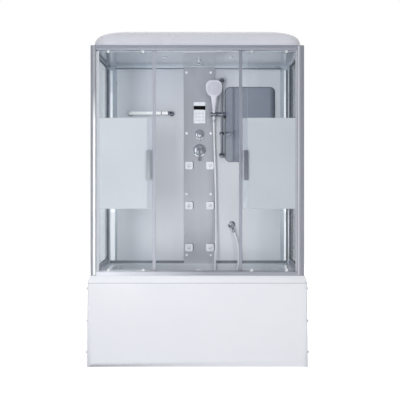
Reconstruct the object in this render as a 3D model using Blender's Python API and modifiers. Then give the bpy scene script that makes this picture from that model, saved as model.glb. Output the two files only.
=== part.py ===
"""Shower cabin with a deep tray, two sliding doors and a shower column.

Lengths are in metres. +Z is up, the front of the cabin faces -Y, and the
origin lies on the floor under the middle of the cabin. Each sub-part is one
object in the collection shower_cabin, and the doors stand open.
"""

import math

import bmesh
import bpy
from mathutils import Matrix, Vector

# Fits shared by all pieces
GAP = 0.0003  # between two pieces that touch
OVERRUN = 0.02  # how far a cutter runs past what it cuts
SINK = 0.001  # how far a boss reaches into the piece that it is moulded on
SIDES = {"left": -1, "right": 1}

# Tray
TRAY_HALF_WIDTH = 0.7415  # at the seam with the apron
TRAY_HALF_DEPTH = 0.425
TRAY_RIM_Z = 0.6135
TRAY_SEAM_Z = 0.564
TRAY_SKIRT_FOOT = 0.006  # upright edge above the seam
TRAY_RIM_SLOPE = 0.013  # the rim's outer edge leans in by this much
TRAY_EDGE_ROUND = 0.004
TRAY_CORNER = 0.016
TRAY_WALL = 0.005
BASIN_HALF_LENGTH = 0.625
BASIN_HALF_WIDTH = 0.318
BASIN_CENTRE_Y = 0.002
BASIN_CORNER = 0.13
BASIN_ROLL = 0.014  # rounding where the rim turns down into the basin
BASIN_FLOOR_Z = 0.200
BASIN_END_LEAN = 0.070
BASIN_SIDE_LEAN = 0.056
BASIN_FOOT_ROUND = 0.050
DRAIN_Y = 0.12
DRAIN_HOLE_RADIUS = 0.026
DRAIN_DROP = 0.005  # fall of the floor to the drain
DRAIN_COVER_RADIUS = 0.036
DRAIN_COVER_HEIGHT = 0.004
DRAIN_PLUG_RADIUS = 0.020
COVER_FACE_SHARE = 0.82  # of a cover's radius, up to its bevel
OVERFLOW_Z = 0.545
OVERFLOW_HOLE_RADIUS = 0.018
OVERFLOW_COVER_RADIUS = 0.030
OVERFLOW_COVER_HEIGHT = 0.008
OVERFLOW_PLUG_RADIUS = 0.014

# Apron
APRON_FOOT_HALF_WIDTH = 0.7475
APRON_SHEET = 0.006
APRON_CLEARANCE = 0.001  # the sheet's lower edge above the floor
APRON_RETURN = 0.062
APRON_LIP_HEIGHT = 0.036
APRON_LIP_DEPTH = 0.004
APRON_LIP_INSET = 0.010
APRON_SCREW_HEIGHTS = (0.096, 0.308, 0.526)
APRON_SCREW_RADIUS = 0.009
APRON_SCREW_HEAD = 0.010
APRON_SCREW_FROM_FRONT = 0.030
APRON_SCREW_SHARE = 0.6  # of the head, taken by its hexagon
APRON_WASHER_SHARE = 0.7  # of the height, taken by its washer

# Steel support under the tray
STEEL_TUBE = 0.025
SUPPORT_HALF_LENGTH = 0.710
SUPPORT_HALF_DEPTH = 0.385
SUPPORT_CROSSBAR_X = 0.22
FOOT_PAD_RADIUS = 0.025
FOOT_PAD_HEIGHT = 0.010
FOOT_ROD_RADIUS = 0.007

# Waste
TRAP_RADIUS = 0.032
TRAP_BOTTOM_Z = 0.050
TRAP_TOP_Z = 0.145
TRAP_NECK_RADIUS = 0.024
TRAP_FLANGE_RADIUS = 0.040
TRAP_FLANGE = 0.006
WASTE_PIPE_RADIUS = 0.020
WASTE_PIPE_WALL = 0.003
WASTE_PIPE_Z = 0.090
WASTE_PIPE_END_Y = 0.418
WASTE_BORE_DEPTH = 0.040
OVERFLOW_PIPE_RADIUS = 0.013
OVERFLOW_PIPE_Y = 0.338
OVERFLOW_PIPE_BEND = 0.022
OVERFLOW_PIPE_FLANGE = 0.007

# Front frame
FRAME_FRONT_Y = -0.405
FRAME_TOP_Z = 2.1705
POST_HALF_WIDTH = 0.723  # outer face of a front post
POST_WIDTH = 0.038
POST_ROUND = 0.010
RAIL_BACK_Y = -0.3355
RAIL_WALL = 0.003
BOTTOM_RAIL_TOP_Z = 0.640
BOTTOM_RAIL_WEB_DROP = 0.002
TOP_RAIL_LIP_Z = 2.138
TOP_RAIL_WEB_Z = 2.142
TOP_RAIL_FLANGE_Z = 2.1335
TOP_RAIL_FLANGE = 0.002
BEAD_TOP_Z = 2.139  # the door wheels run on this bead
BEAD_Y = -0.350
BEAD_WIDTH = 0.003
GUIDE_BEAD_TOP_Z = 0.631
GLASS_SEAT = 0.010  # depth of the glass in a rail's slot
GLASS_SEAT_TOP = 0.020

# Glass
FIXED_GLASS_Y = -0.390
FIXED_GLASS = 0.006
FIXED_GLASS_EDGE_X = 0.340
SIDE_GLASS_X = 0.705
SIDE_GLASS = 0.006
SIDE_GLASS_SEAT = 0.012

# Side rails
SIDE_RAIL_INNER_X = 0.693
SIDE_RAIL_OUTER_X = 0.717
SIDE_BOTTOM_RAIL_TOP_Z = 0.652
SIDE_TOP_RAIL_INNER_X = POST_HALF_WIDTH - POST_WIDTH
SIDE_TOP_RAIL_BOTTOM_Z = 2.120

# Rear frame and wall
BACK_WALL_Y = 0.385  # front face of the wall panels
BACK_PANEL = 0.005
BACK_PANEL_SEAT = 0.008
REAR_FRAME_FRONT_Y = 0.378
REAR_FRAME_BACK_Y = 0.398
REAR_POST_INNER_X = 0.630
REAR_POST_OUTER_X = 0.718
REAR_POST_ARM_INNER_X = 0.686
REAR_POST_ARM_FRONT_Y = 0.350
REAR_SLOT_DEPTH = 0.0125
REAR_BOTTOM_RAIL_TOP_Z = 0.634
REAR_TOP_RAIL_BOTTOM_Z = 2.1045
REAR_TOP_RAIL_BACK_Y = 0.4105

# Roof and ceiling
DOME_HALF_LENGTH = 0.7085
DOME_FRONT_Y = -0.380
DOME_BACK_Y = 0.400
DOME_CORNER = 0.090
DOME_HEIGHT = 0.124
DOME_WALL = 0.004
DOME_FOOT = 0.004  # upright edge under the curve
DOME_SPREAD = 0.250  # how far in from its foot the dome still curves
DOME_POWER = 2.65  # of the superellipse that the curve follows
DOME_CORNER_GROWTH = 0.3  # of the plan's corner radius, per length run in
DOME_RINGS = 9
DOME_TOP_ANGLE = math.radians(84)  # where the curve gives way to a flat top
CEILING_Z = 2.135
CEILING_SHEET = 0.005
CEILING_BAND = 0.003
CEILING_SPOT_X = 0.235
CEILING_SPOT_Y = -0.11
CEILING_SPOT_RADIUS = 0.016
CEILING_SPOT_DROP = 0.004

# Rain shower in the ceiling
RAIN_SOCKET_RADIUS = 0.016
RAIN_SOCKET_HEIGHT = 0.012
RAIN_BALL_RADIUS = 0.009
RAIN_BALL_DROP = 0.011
RAIN_NECK_RADIUS = 0.005
RAIN_HEAD_RADIUS = 0.028
RAIN_HEAD_TOP = 0.016  # below the ball's centre
RAIN_HEAD_HEIGHT = 0.014
RAIN_CROWN_SHARE = 0.5  # of the head's radius
RAIN_RIM_SHARE = 0.3  # of the head's height

# Shower column
COLUMN_X = 0.007
COLUMN_HALF_WIDTH = 0.120
COLUMN_FRONT_Y = 0.375
COLUMN_SHEET = 0.003
COLUMN_TOP_Z = 2.126
COLUMN_FLANGE = 0.0025
COLUMN_FLANGE_TOP_Z = 2.100
COLUMN_LAP = 0.015  # how far the column covers the edge of a wall panel
JET_X = 0.081
JET_HEIGHTS = (0.734, 1.058, 1.367)
JET_PLATE = 0.060
JET_PLATE_CORNER = 0.012
JET_PLATE_THICKNESS = 0.006
JET_CUP_RADIUS = 0.017
JET_CUP_DEPTH = 0.026
JET_CUP_FLOOR = 0.004
JET_BALL_RADIUS = 0.012
JET_BALL_CLEARANCE = 0.0006
JET_BALL_SINK = 0.0075  # ball centre behind the jet plate's face
JET_BALL_BACK = 0.008
JET_SPOUT_RADIUS = 0.0045
JET_SPOUT_REACH = 0.0155
CAP_X = 0.093
CAP_HEIGHTS = (0.675, 1.146, 1.615, 2.084)
CAP_RADIUS = 0.010
CAP_THICKNESS = 0.003
CAP_FACE_SHARE = 0.8

# Controller
CONTROLLER_HALF_WIDTH = 0.046
CONTROLLER_BOTTOM_Z = 1.691
CONTROLLER_TOP_Z = 1.857
CONTROLLER_DEPTH = 0.014
CONTROLLER_CORNER = 0.006

# Valves
MIXER_Z = 1.484
DIVERTER_Z = 1.607
ROSE_THICKNESS = 0.008
MIXER_ROSE_RADIUS = 0.047
DIVERTER_ROSE_RADIUS = 0.036
SPINDLE_RADIUS = 0.007
SPINDLE_LENGTH = 0.015
SLEEVE_RADIUS = 0.015
SLEEVE_CLEARANCE = 0.002
VALVE_BODY_BACK_Y = 0.415
MIXER_BODY_RADIUS = 0.026
DIVERTER_BODY_RADIUS = 0.022
VALVE_LINK_RADIUS = 0.010
INLET_RADIUS = 0.009
INLET_REACH = 0.072
MIXER_KNOB_RADIUS = 0.043
MIXER_KNOB_HEIGHT = 0.036
DIVERTER_KNOB_RADIUS = 0.033
DIVERTER_KNOB_HEIGHT = 0.028
KNOB_SKIRT = 0.010
LEVER_WIDTH = 0.017
LEVER_BARREL_RADIUS = 0.0065
LEVER_REACH = 0.083
LEVER_THICKNESS = 0.007
LEVER_FLAT = 0.020  # the arm runs straight this far before it leans back
LEVER_LEAN = 0.016
LEVER_HUB_SHARE = 0.7  # of the barrel's radius, for the arm's front at the axis
DIVERTER_LEVER_WIDTH = 0.012
DIVERTER_LEVER_REACH = 0.055
DIVERTER_LEVER_THICKNESS = 0.008
DIVERTER_LEVER_OUT = 0.013  # height of the lever's middle above the rose

# Riser rail, holder and hand shower
RISER_X = 0.178
RISER_Y = 0.320
RISER_RADIUS = 0.012
RISER_BOTTOM_Z = 1.445
RISER_TOP_Z = 2.012
RISER_BRACKET_RADIUS = 0.021
RISER_BRACKET_FRONT = 0.018  # the bracket's face in front of the rail's axis
RISER_BRACKET_EDGE = 0.003
HOLDER_Z = 1.757
HOLDER_RADIUS = 0.0175
HOLDER_LEFT_X = 0.0945
HOLDER_SPLIT_X = 0.150
HOLDER_RIGHT_X = 0.212
SPIGOT_RADIUS = 0.007
SPIGOT_LENGTH = 0.012
CLAMP_KNOB_RADIUS = 0.008
CLAMP_KNOB_X = 0.2014
CLAMP_KNOB_REACH = 0.012
HANDSET_X = 0.1175
HANDSET_TILT = math.radians(14.4)
HANDSET_HEAD_HALF_WIDTH = 0.062
HANDSET_HEAD_HALF_HEIGHT = 0.0655
HANDSET_HEAD_CORNER = 0.030
HANDSET_HEAD_THICKNESS = 0.020
HANDSET_HEAD_EDGE = 0.004
HANDSET_HEAD_RISE = 0.199  # head centre above the holder's axis
HANDSET_GRIP_RADIUS = 0.0115
HANDSET_GRIP_TOP = 0.020
HANDSET_NECK_HALF_WIDTH = 0.023
HANDSET_NECK_HALF_DEPTH = 0.010
HANDSET_NECK_CORNER_SHARE = 0.9  # of the neck's half depth
HANDSET_END = 0.038  # lower end below the holder's axis, along the grip

# Soap dish
DISH_Z = 1.611
DISH_X = 0.228
DISH_RADIUS = 0.046
DISH_FOOT_RADIUS = 0.022
DISH_HEIGHT = 0.014
DISH_WALL = 0.0025
DISH_RING_RADIUS = 0.018
DISH_RING_HEIGHT = 0.020

# Wall elbow of the hose
ELBOW_X = 0.254
ELBOW_Z = 0.911
ELBOW_FLANGE_RADIUS = 0.0285
ELBOW_FLANGE = 0.008
ELBOW_FLANGE_EDGE = 0.004
ELBOW_NECK_RADIUS = 0.012
ELBOW_REACH = 0.045
ELBOW_BALL_RADIUS = 0.016
ELBOW_NUT_RADIUS = 0.011
ELBOW_OUTLET = 0.038
ELBOW_OUTLET_TILT = math.radians(18.5)  # from straight down towards the right

# Mirror
MIRROR_LEFT_X = 0.203
MIRROR_RIGHT_X = 0.590
MIRROR_BOTTOM_Z = 1.393
MIRROR_TOP_Z = 1.973
MIRROR_CORNER = 0.040
MIRROR_THICKNESS = 0.005

# Towel rail
TOWEL_LEFT_X = -0.5266
TOWEL_RIGHT_X = -0.206
TOWEL_Z = 1.766
TOWEL_RADIUS = 0.014
TOWEL_REACH = 0.085
TOWEL_BEND = 0.028
TOWEL_FLANGE_RADIUS = 0.020
TOWEL_FLANGE = 0.006

# Doors, in the open position
DOOR_Y = -0.365
DOOR_GLASS = 0.005
DOOR_EDGE_X = 0.283
DOOR_TAIL_X = 0.655
DOOR_BOTTOM_Z = 0.644
DOOR_TOP_Z = 2.160
DOOR_PROFILE_WIDTH = 0.022
DOOR_PROFILE_DEPTH = 0.016
DOOR_PROFILE_BACK = 0.007  # solid metal ahead of the glass slot
DOOR_PROFILE_BOTTOM_Z = 0.642
DOOR_PROFILE_TOP_Z = 2.150
CARRIER_X = (0.370, 0.607)
CARRIER_HALF_WIDTH = 0.019
CARRIER_TIP_HALF_WIDTH = 0.005
CARRIER_PLATE = 0.004
CARRIER_TIP_Z = 2.1254
CARRIER_TOP_Z = 2.157
GUIDE_TIP_Z = 0.655
GUIDE_BOTTOM_Z = 0.6225
GUIDE_FOOT_DEPTH = 0.014
GUIDE_FOOT_TOP_Z = 0.636
GUIDE_SLOT_CLEARANCE = 0.0004
BOLT_RADIUS = 0.005
BOLT_HEAD = 0.002
BOLT_Z = 2.141
WHEEL_RADIUS = 0.013
WHEEL_GROOVE_RADIUS = 0.0105
WHEEL_WIDTH = 0.009
WHEEL_GROOVE_HALF_WIDTH = 0.0018
WHEEL_GROOVE_MOUTH = 0.0026
WHEEL_PIN_RADIUS = 0.003
WHEEL_PIN_HEAD_RADIUS = 0.005
WHEEL_PIN_HEAD = 0.0015
HANDLE_X = 0.329
HANDLE_WIDTH = 0.026
HANDLE_BOTTOM_Z = 1.260
HANDLE_TOP_Z = 1.462
HANDLE_FRONT_Y = -0.420
HANDLE_THICKNESS = 0.012
HANDLE_EDGE = 0.003
HANDLE_POST_X = 0.326
HANDLE_POST_RADIUS = 0.0055
HANDLE_POST_INSET = 0.026

# Hose, as a route of points along its middle, from the hand shower down into
# the basin and up again to the wall elbow
HOSE_RADIUS = 0.007
HOSE_SPACING = 2.5  # diameters between two points of the tube
HOSE_SEAM_Z = 1.560
HOSE_ROUTE = (
    (0.1178, 0.3390, 1.670),
    (0.1188, 0.3420, 1.610),
    (0.1200, 0.3425, 1.560),
    (0.1235, 0.3425, 1.440),
    (0.1280, 0.3415, 1.300),
    (0.1318, 0.3390, 1.140),
    (0.1330, 0.3340, 0.980),
    (0.1330, 0.3230, 0.850),
    (0.1305, 0.3040, 0.740),
    (0.1265, 0.2850, 0.650),
    (0.1265, 0.2720, 0.575),
    (0.1310, 0.2620, 0.490),
    (0.1370, 0.2555, 0.420),
    (0.1575, 0.2515, 0.369),
    (0.2090, 0.2500, 0.347),
    (0.2605, 0.2515, 0.368),
    (0.2820, 0.2565, 0.418),
    (0.2880, 0.2640, 0.495),
    (0.2990, 0.2760, 0.575),
    (0.3130, 0.2890, 0.645),
    (0.3160, 0.3060, 0.710),
    (0.3060, 0.3240, 0.762),
    (0.2870, 0.3360, 0.820),
)

COLOURS = {
    "white_acrylic": ((0.80, 0.82, 0.85), 0.25, 0.0),
    "galvanised_steel": ((0.45, 0.47, 0.50), 0.45, 1.0),
    "aluminium": ((0.52, 0.54, 0.58), 0.25, 1.0),
    "chrome": ((0.62, 0.64, 0.68), 0.08, 1.0),
    "clear_glass": ((0.80, 0.86, 0.90), 0.02, 0.0),
    "wall_panel": ((0.62, 0.65, 0.69), 0.12, 0.0),
    "column_panel": ((0.42, 0.44, 0.48), 0.30, 0.3),
    "white_plastic": ((0.82, 0.82, 0.84), 0.35, 0.0),
    "grey_plastic": ((0.35, 0.37, 0.40), 0.45, 0.0),
    "mirror": ((0.50, 0.53, 0.57), 0.03, 1.0),
    "brass": ((0.60, 0.45, 0.20), 0.35, 1.0),
}

for old in list(bpy.data.objects):
    bpy.data.objects.remove(old, do_unlink=True)

CABIN = bpy.data.collections.new("shower_cabin")
CUTTERS = bpy.data.collections.new("cutters")
for collection in (CABIN, CUTTERS):
    bpy.context.scene.collection.children.link(collection)


def finish(name):
    """The material of that name, made the first time that it is asked for."""
    if name not in bpy.data.materials:
        colour, roughness, metallic = COLOURS[name]
        shader = bpy.data.materials.new(name)
        shader.use_nodes = True
        inputs = shader.node_tree.nodes["Principled BSDF"].inputs
        inputs["Base Color"].default_value = (*colour, 1.0)
        inputs["Roughness"].default_value = roughness
        inputs["Metallic"].default_value = metallic
        inputs["Alpha"].default_value = 0.35 if name == "clear_glass" else 1.0
    return bpy.data.materials[name]


def place(name, data, material=None, matrix=None, parent=None):
    """Links a piece, or without a material a cutter, into its collection."""
    piece = bpy.data.objects.new(name, data)
    piece.parent = parent
    if matrix is not None:
        piece.matrix_basis = matrix
    if material:
        data.materials.append(finish(material))
        CABIN.objects.link(piece)
    else:
        piece.hide_render = True
        piece.display_type = "WIRE"
        CUTTERS.objects.link(piece)
    return piece


def pivot(name, location, parent=None, tilt=0.0):
    """An empty on a joint's axis, which the moving pieces hang on."""
    empty = bpy.data.objects.new(name, None)
    empty.location = location
    empty.rotation_euler.x = tilt
    empty.parent = parent
    CABIN.objects.link(empty)
    return empty


def smooth(mesh):
    """Round faces shade smooth, and edges over 30 degrees stay sharp."""
    mesh.shade_smooth()
    mesh.set_sharp_from_angle(angle=math.radians(30))


def to_mesh(name, build):
    """A mesh that build fills, with its faces turned outwards."""
    work = bmesh.new()
    build(work)
    bmesh.ops.recalc_face_normals(work, faces=work.faces)
    mesh = bpy.data.meshes.new(name)
    work.to_mesh(mesh)
    work.free()
    smooth(mesh)
    return mesh


def add_box(work, low, high, bevel=0.0):
    """A box between two corners, with its edges bevelled by that width."""
    low, high = Vector(low), Vector(high)
    made = bmesh.ops.create_cube(work, size=1.0)["verts"]
    bmesh.ops.scale(work, vec=high - low, verts=made)
    bmesh.ops.translate(work, vec=(low + high) / 2, verts=made)
    if bevel:
        edges = {edge for vert in made for edge in vert.link_edges}
        bmesh.ops.bevel(
            work, geom=list(edges), offset=bevel, segments=2, profile=0.5, affect="EDGES"
        )


def add_rod(work, start, end, radius, sides=16, end_radius=None):
    """A round rod, or with an end_radius a cone, from start to end."""
    start, end = Vector(start), Vector(end)
    along = end - start
    turn = Vector((0, 0, 1)).rotation_difference(along).to_matrix().to_4x4()
    bmesh.ops.create_cone(
        work,
        cap_ends=True,
        segments=sides,
        radius1=radius,
        radius2=radius if end_radius is None else end_radius,
        depth=along.length,
        matrix=Matrix.Translation((start + end) / 2) @ turn,
    )


def ring(half_x, half_y, corner, z, centre=(0.0, 0.0), steps=5):
    """The points of a rounded rectangle at height z, anticlockwise."""
    points = []
    for quarter, (sign_x, sign_y) in enumerate(((1, 1), (-1, 1), (-1, -1), (1, -1))):
        for step in range(steps + 1):
            angle = math.pi / 2 * (quarter + step / steps)
            points.append(
                Vector(
                    (
                        centre[0] + sign_x * (half_x - corner) + corner * math.cos(angle),
                        centre[1] + sign_y * (half_y - corner) + corner * math.sin(angle),
                        z,
                    )
                )
            )
    return points


def add_loft(work, rows, closed=True, cap_first=False, cap_last=False):
    """Faces between rows of equally many points, with flat caps if wanted."""
    rows = [[work.verts.new(point) for point in row] for row in rows]
    count = len(rows[0])
    for row, following in zip(rows, rows[1:]):
        for i in range(count if closed else count - 1):
            j = (i + 1) % count
            work.faces.new((row[i], row[j], following[j], following[i]))
    if cap_first:
        work.faces.new(list(reversed(rows[0])))
    if cap_last:
        work.faces.new(rows[-1])


def add_plate(work, half_x, half_z, corner, centre, front_y, back_y, edge=0.0, steps=4):
    """A rounded plate that faces the front, its front edge softened by edge."""
    rows = []
    for y, inset in ((back_y, 0.0), (front_y + edge, 0.0), (front_y, edge)):
        if y == front_y and not edge:
            continue
        row = ring(half_x - inset, half_z - inset, corner - inset, 0.0, steps=steps)
        rows.append([Vector((centre[0] + p.x, y, centre[1] + p.y)) for p in row])
    add_loft(work, rows, cap_first=True, cap_last=True)


def shell(name, rows, wall, material, closed=True, cap_last=False):
    """An open surface through the rows, given a wall on its inner side."""
    mesh = bpy.data.meshes.new(name)
    work = bmesh.new()
    add_loft(work, rows, closed=closed, cap_last=cap_last)
    work.to_mesh(mesh)
    work.free()
    piece = place(name, mesh, material)
    solidify = piece.modifiers.new("wall", "SOLIDIFY")
    solidify.thickness = wall
    solidify.offset = -1.0
    solidify.use_even_offset = True
    smooth(mesh)
    return piece


FACING = {
    "up": Matrix.Identity(4),
    "front": Matrix.Rotation(math.pi / 2, 4, "X"),
    "right": Matrix.Rotation(math.pi / 2, 4, "Y"),
    "left": Matrix.Rotation(-math.pi / 2, 4, "Y"),
}


def turned(name, profile, location, facing, material=None, steps=18, hollow=False, parent=None):
    """A profile of (radius, height) pairs turned about its height axis.

    The profile runs down the outer side. A hollow one is closed on itself,
    and any other starts and ends on the axis.
    """
    points = [(radius, 0.0, height) for radius, height in profile]
    edges = [(i, i + 1) for i in range(len(points) - 1)]
    if hollow:
        edges.append((len(points) - 1, 0))
    mesh = bpy.data.meshes.new(name)
    mesh.from_pydata(points, edges, [])
    turn = FACING[facing] if isinstance(facing, str) else facing
    piece = place(name, mesh, material, Matrix.Translation(location) @ turn, parent)
    screw = piece.modifiers.new("turn", "SCREW")
    screw.steps = screw.render_steps = steps
    screw.use_merge_vertices = True
    screw.merge_threshold = 0.0001
    screw.use_smooth_shade = True
    return piece


def curve_mesh(name, curve):
    """A curve's solid as a mesh with its caps welded on."""
    holder = bpy.data.objects.new(name, curve)
    bpy.context.scene.collection.objects.link(holder)
    seen = holder.evaluated_get(bpy.context.evaluated_depsgraph_get())
    mesh = bpy.data.meshes.new_from_object(seen)
    bpy.data.objects.remove(holder)
    work = bmesh.new()
    work.from_mesh(mesh)
    bmesh.ops.remove_doubles(work, verts=work.verts, dist=GAP / 10)
    bmesh.ops.recalc_face_normals(work, faces=work.faces)
    work.to_mesh(mesh)
    work.free()
    mesh.name = name
    smooth(mesh)
    return mesh


PLANES = {
    "YZ": Matrix(((0, 0, 1, 0), (1, 0, 0, 0), (0, 1, 0, 0), (0, 0, 0, 1))),
    "XZ": Matrix(((1, 0, 0, 0), (0, 0, -1, 0), (0, 1, 0, 0), (0, 0, 0, 1))),
    "XY": Matrix.Identity(4),
}


def bar(name, section, plane, start, end, material=None, parent=None):
    """A section drawn in a plane, run from start to end along the third axis."""
    curve = bpy.data.curves.new(name, "CURVE")
    curve.dimensions = "2D"
    curve.fill_mode = "BOTH"
    curve.extrude = (end - start) / 2
    spline = curve.splines.new("POLY")
    spline.points.add(len(section) - 1)
    for point, (a, b) in zip(spline.points, section):
        point.co = (a, b, 0.0, 1.0)
    spline.use_cyclic_u = True
    middle = (start + end) / 2
    shift = {
        "YZ": (middle, 0.0, 0.0),
        "XZ": (0.0, middle, 0.0),
        "XY": (0.0, 0.0, middle),
    }[plane]
    matrix = Matrix.Translation(shift) @ PLANES[plane]
    return place(name, curve_mesh(name, curve), material, matrix, parent)


def tube(name, points, radius, material=None, resolution=2):
    """A round tube along the points, with flat caps."""
    curve = bpy.data.curves.new(name, "CURVE")
    curve.dimensions = "3D"
    curve.bevel_depth = radius
    curve.bevel_resolution = resolution
    curve.use_fill_caps = True
    spline = curve.splines.new("POLY")
    spline.points.add(len(points) - 1)
    for point, place_of in zip(spline.points, points):
        point.co = (*place_of, 1.0)
    return place(name, curve_mesh(name, curve), material)


def rounded_path(corners, bend, steps=5):
    """A path through the corners, each turned with the bend's radius."""
    corners = [Vector(corner) for corner in corners]
    path = [corners[0]]
    for before, corner, after in zip(corners, corners[1:], corners[2:]):
        into = (before - corner).normalized()
        out = (after - corner).normalized()
        half = into.angle(out) / 2
        middle = corner + (into + out).normalized() * bend / math.sin(half)
        first = corner + into * bend / math.tan(half) - middle
        last = corner + out * bend / math.tan(half) - middle
        for step in range(steps + 1):
            path.append(middle + first.slerp(last, step / steps).normalized() * bend)
    path.append(corners[-1])
    return path


def combine(piece, other, operation):
    """Adds the other shape to the piece or cuts it out."""
    change = piece.modifiers.new(other.name, "BOOLEAN")
    change.operation = operation
    change.object = other
    change.solver = "EXACT"


def unite(piece, *others):
    for other in others:
        combine(piece, other, "UNION")


def cut(piece, *others):
    for other in others:
        combine(piece, other, "DIFFERENCE")


def solid(name, build, material=None, parent=None, matrix=None):
    """A piece, or without a material a cutter, whose mesh build fills."""
    return place(name, to_mesh(name, build), material, matrix, parent)


def basin_wall_y(z):
    """The inner face of the basin's rear wall at height z."""
    top = TRAY_RIM_Z - BASIN_ROLL
    foot = BASIN_FLOOR_Z + BASIN_FOOT_ROUND
    share = (top - z) / (top - foot)
    return BASIN_CENTRE_Y + BASIN_HALF_WIDTH - BASIN_SIDE_LEAN * share


def basin_wall_turn():
    """Turns a front-facing piece to lie square on the basin's rear wall."""
    top = TRAY_RIM_Z - BASIN_ROLL
    foot = BASIN_FLOOR_Z + BASIN_FOOT_ROUND
    lean = math.atan2(BASIN_SIDE_LEAN, top - foot)
    return Matrix.Rotation(-lean, 4, "X") @ FACING["front"]


def tray():
    """An acrylic tub with a rolled rim, a leaning skirt and a deep basin."""
    rows = []
    for z, inset in (
        (TRAY_SEAM_Z, 0.0),
        (TRAY_SEAM_Z + TRAY_SKIRT_FOOT, 0.0),
        (TRAY_RIM_Z - TRAY_EDGE_ROUND, TRAY_RIM_SLOPE),
        (TRAY_RIM_Z, TRAY_RIM_SLOPE + TRAY_EDGE_ROUND / 2),
    ):
        rows.append(
            ring(TRAY_HALF_WIDTH - inset, TRAY_HALF_DEPTH - inset, TRAY_CORNER, z)
        )
    centre = (0.0, BASIN_CENTRE_Y)
    for step in range(4):
        angle = math.pi / 2 * step / 3
        out = BASIN_ROLL * (1 - math.sin(angle))
        rows.append(
            ring(
                BASIN_HALF_LENGTH + out,
                BASIN_HALF_WIDTH + out,
                BASIN_CORNER + out,
                TRAY_RIM_Z - BASIN_ROLL * (1 - math.cos(angle)),
                centre,
            )
        )
    foot_x = BASIN_HALF_LENGTH - BASIN_END_LEAN
    foot_y = BASIN_HALF_WIDTH - BASIN_SIDE_LEAN
    for step in range(4):
        angle = math.pi / 2 * step / 3
        inset = BASIN_FOOT_ROUND * (1 - math.cos(angle))
        rows.append(
            ring(
                foot_x - inset,
                foot_y - inset,
                BASIN_CORNER - inset / 2,
                BASIN_FLOOR_Z + BASIN_FOOT_ROUND * (1 - math.sin(angle)),
                centre,
            )
        )
    rows.append(
        ring(
            DRAIN_HOLE_RADIUS,
            DRAIN_HOLE_RADIUS,
            DRAIN_HOLE_RADIUS,
            BASIN_FLOOR_Z - DRAIN_DROP,
            (0.0, DRAIN_Y),
        )
    )
    piece = shell("tray", rows, TRAY_WALL, "white_acrylic")
    hole = turned(
        "overflow_hole",
        [
            (0.0, OVERRUN),
            (OVERFLOW_HOLE_RADIUS, OVERRUN),
            (OVERFLOW_HOLE_RADIUS, -OVERRUN),
            (0.0, -OVERRUN),
        ],
        (0.0, basin_wall_y(OVERFLOW_Z), OVERFLOW_Z),
        basin_wall_turn(),
    )
    cut(piece, hole)


def drain_and_overflow_covers():
    floor = BASIN_FLOOR_Z - DRAIN_DROP
    turned(
        "drain_cover",
        [
            (0.0, DRAIN_COVER_HEIGHT),
            (DRAIN_COVER_RADIUS * COVER_FACE_SHARE, DRAIN_COVER_HEIGHT),
            (DRAIN_COVER_RADIUS, DRAIN_COVER_HEIGHT / 2),
            (DRAIN_COVER_RADIUS, 0.0),
            (DRAIN_PLUG_RADIUS, 0.0),
            (DRAIN_PLUG_RADIUS, -DRAIN_COVER_SEAT - TRAY_WALL),
            (0.0, -DRAIN_COVER_SEAT - TRAY_WALL),
        ],
        (0.0, DRAIN_Y, floor + DRAIN_COVER_SEAT),
        "up",
        "chrome",
    )
    turned(
        "overflow_cover",
        [
            (0.0, OVERFLOW_COVER_HEIGHT),
            (OVERFLOW_COVER_RADIUS * COVER_FACE_SHARE, OVERFLOW_COVER_HEIGHT),
            (OVERFLOW_COVER_RADIUS, OVERFLOW_COVER_HEIGHT / 2),
            (OVERFLOW_COVER_RADIUS, GAP),
            (OVERFLOW_PLUG_RADIUS, GAP),
            (OVERFLOW_PLUG_RADIUS, -TRAY_WALL),
            (0.0, -TRAY_WALL),
        ],
        (0.0, basin_wall_y(OVERFLOW_Z), OVERFLOW_Z),
        basin_wall_turn(),
        "chrome",
    )


# The floor rises from the drain hole, so the cover rests on the slope under
# its own edge.
DRAIN_SLOPE_RUN = BASIN_HALF_WIDTH - BASIN_SIDE_LEAN - BASIN_FOOT_ROUND - DRAIN_Y
DRAIN_COVER_SEAT = (
    DRAIN_DROP
    * (DRAIN_COVER_RADIUS - DRAIN_HOLE_RADIUS)
    / (DRAIN_SLOPE_RUN + BASIN_CENTRE_Y - DRAIN_HOLE_RADIUS)
    + GAP
)


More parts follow.
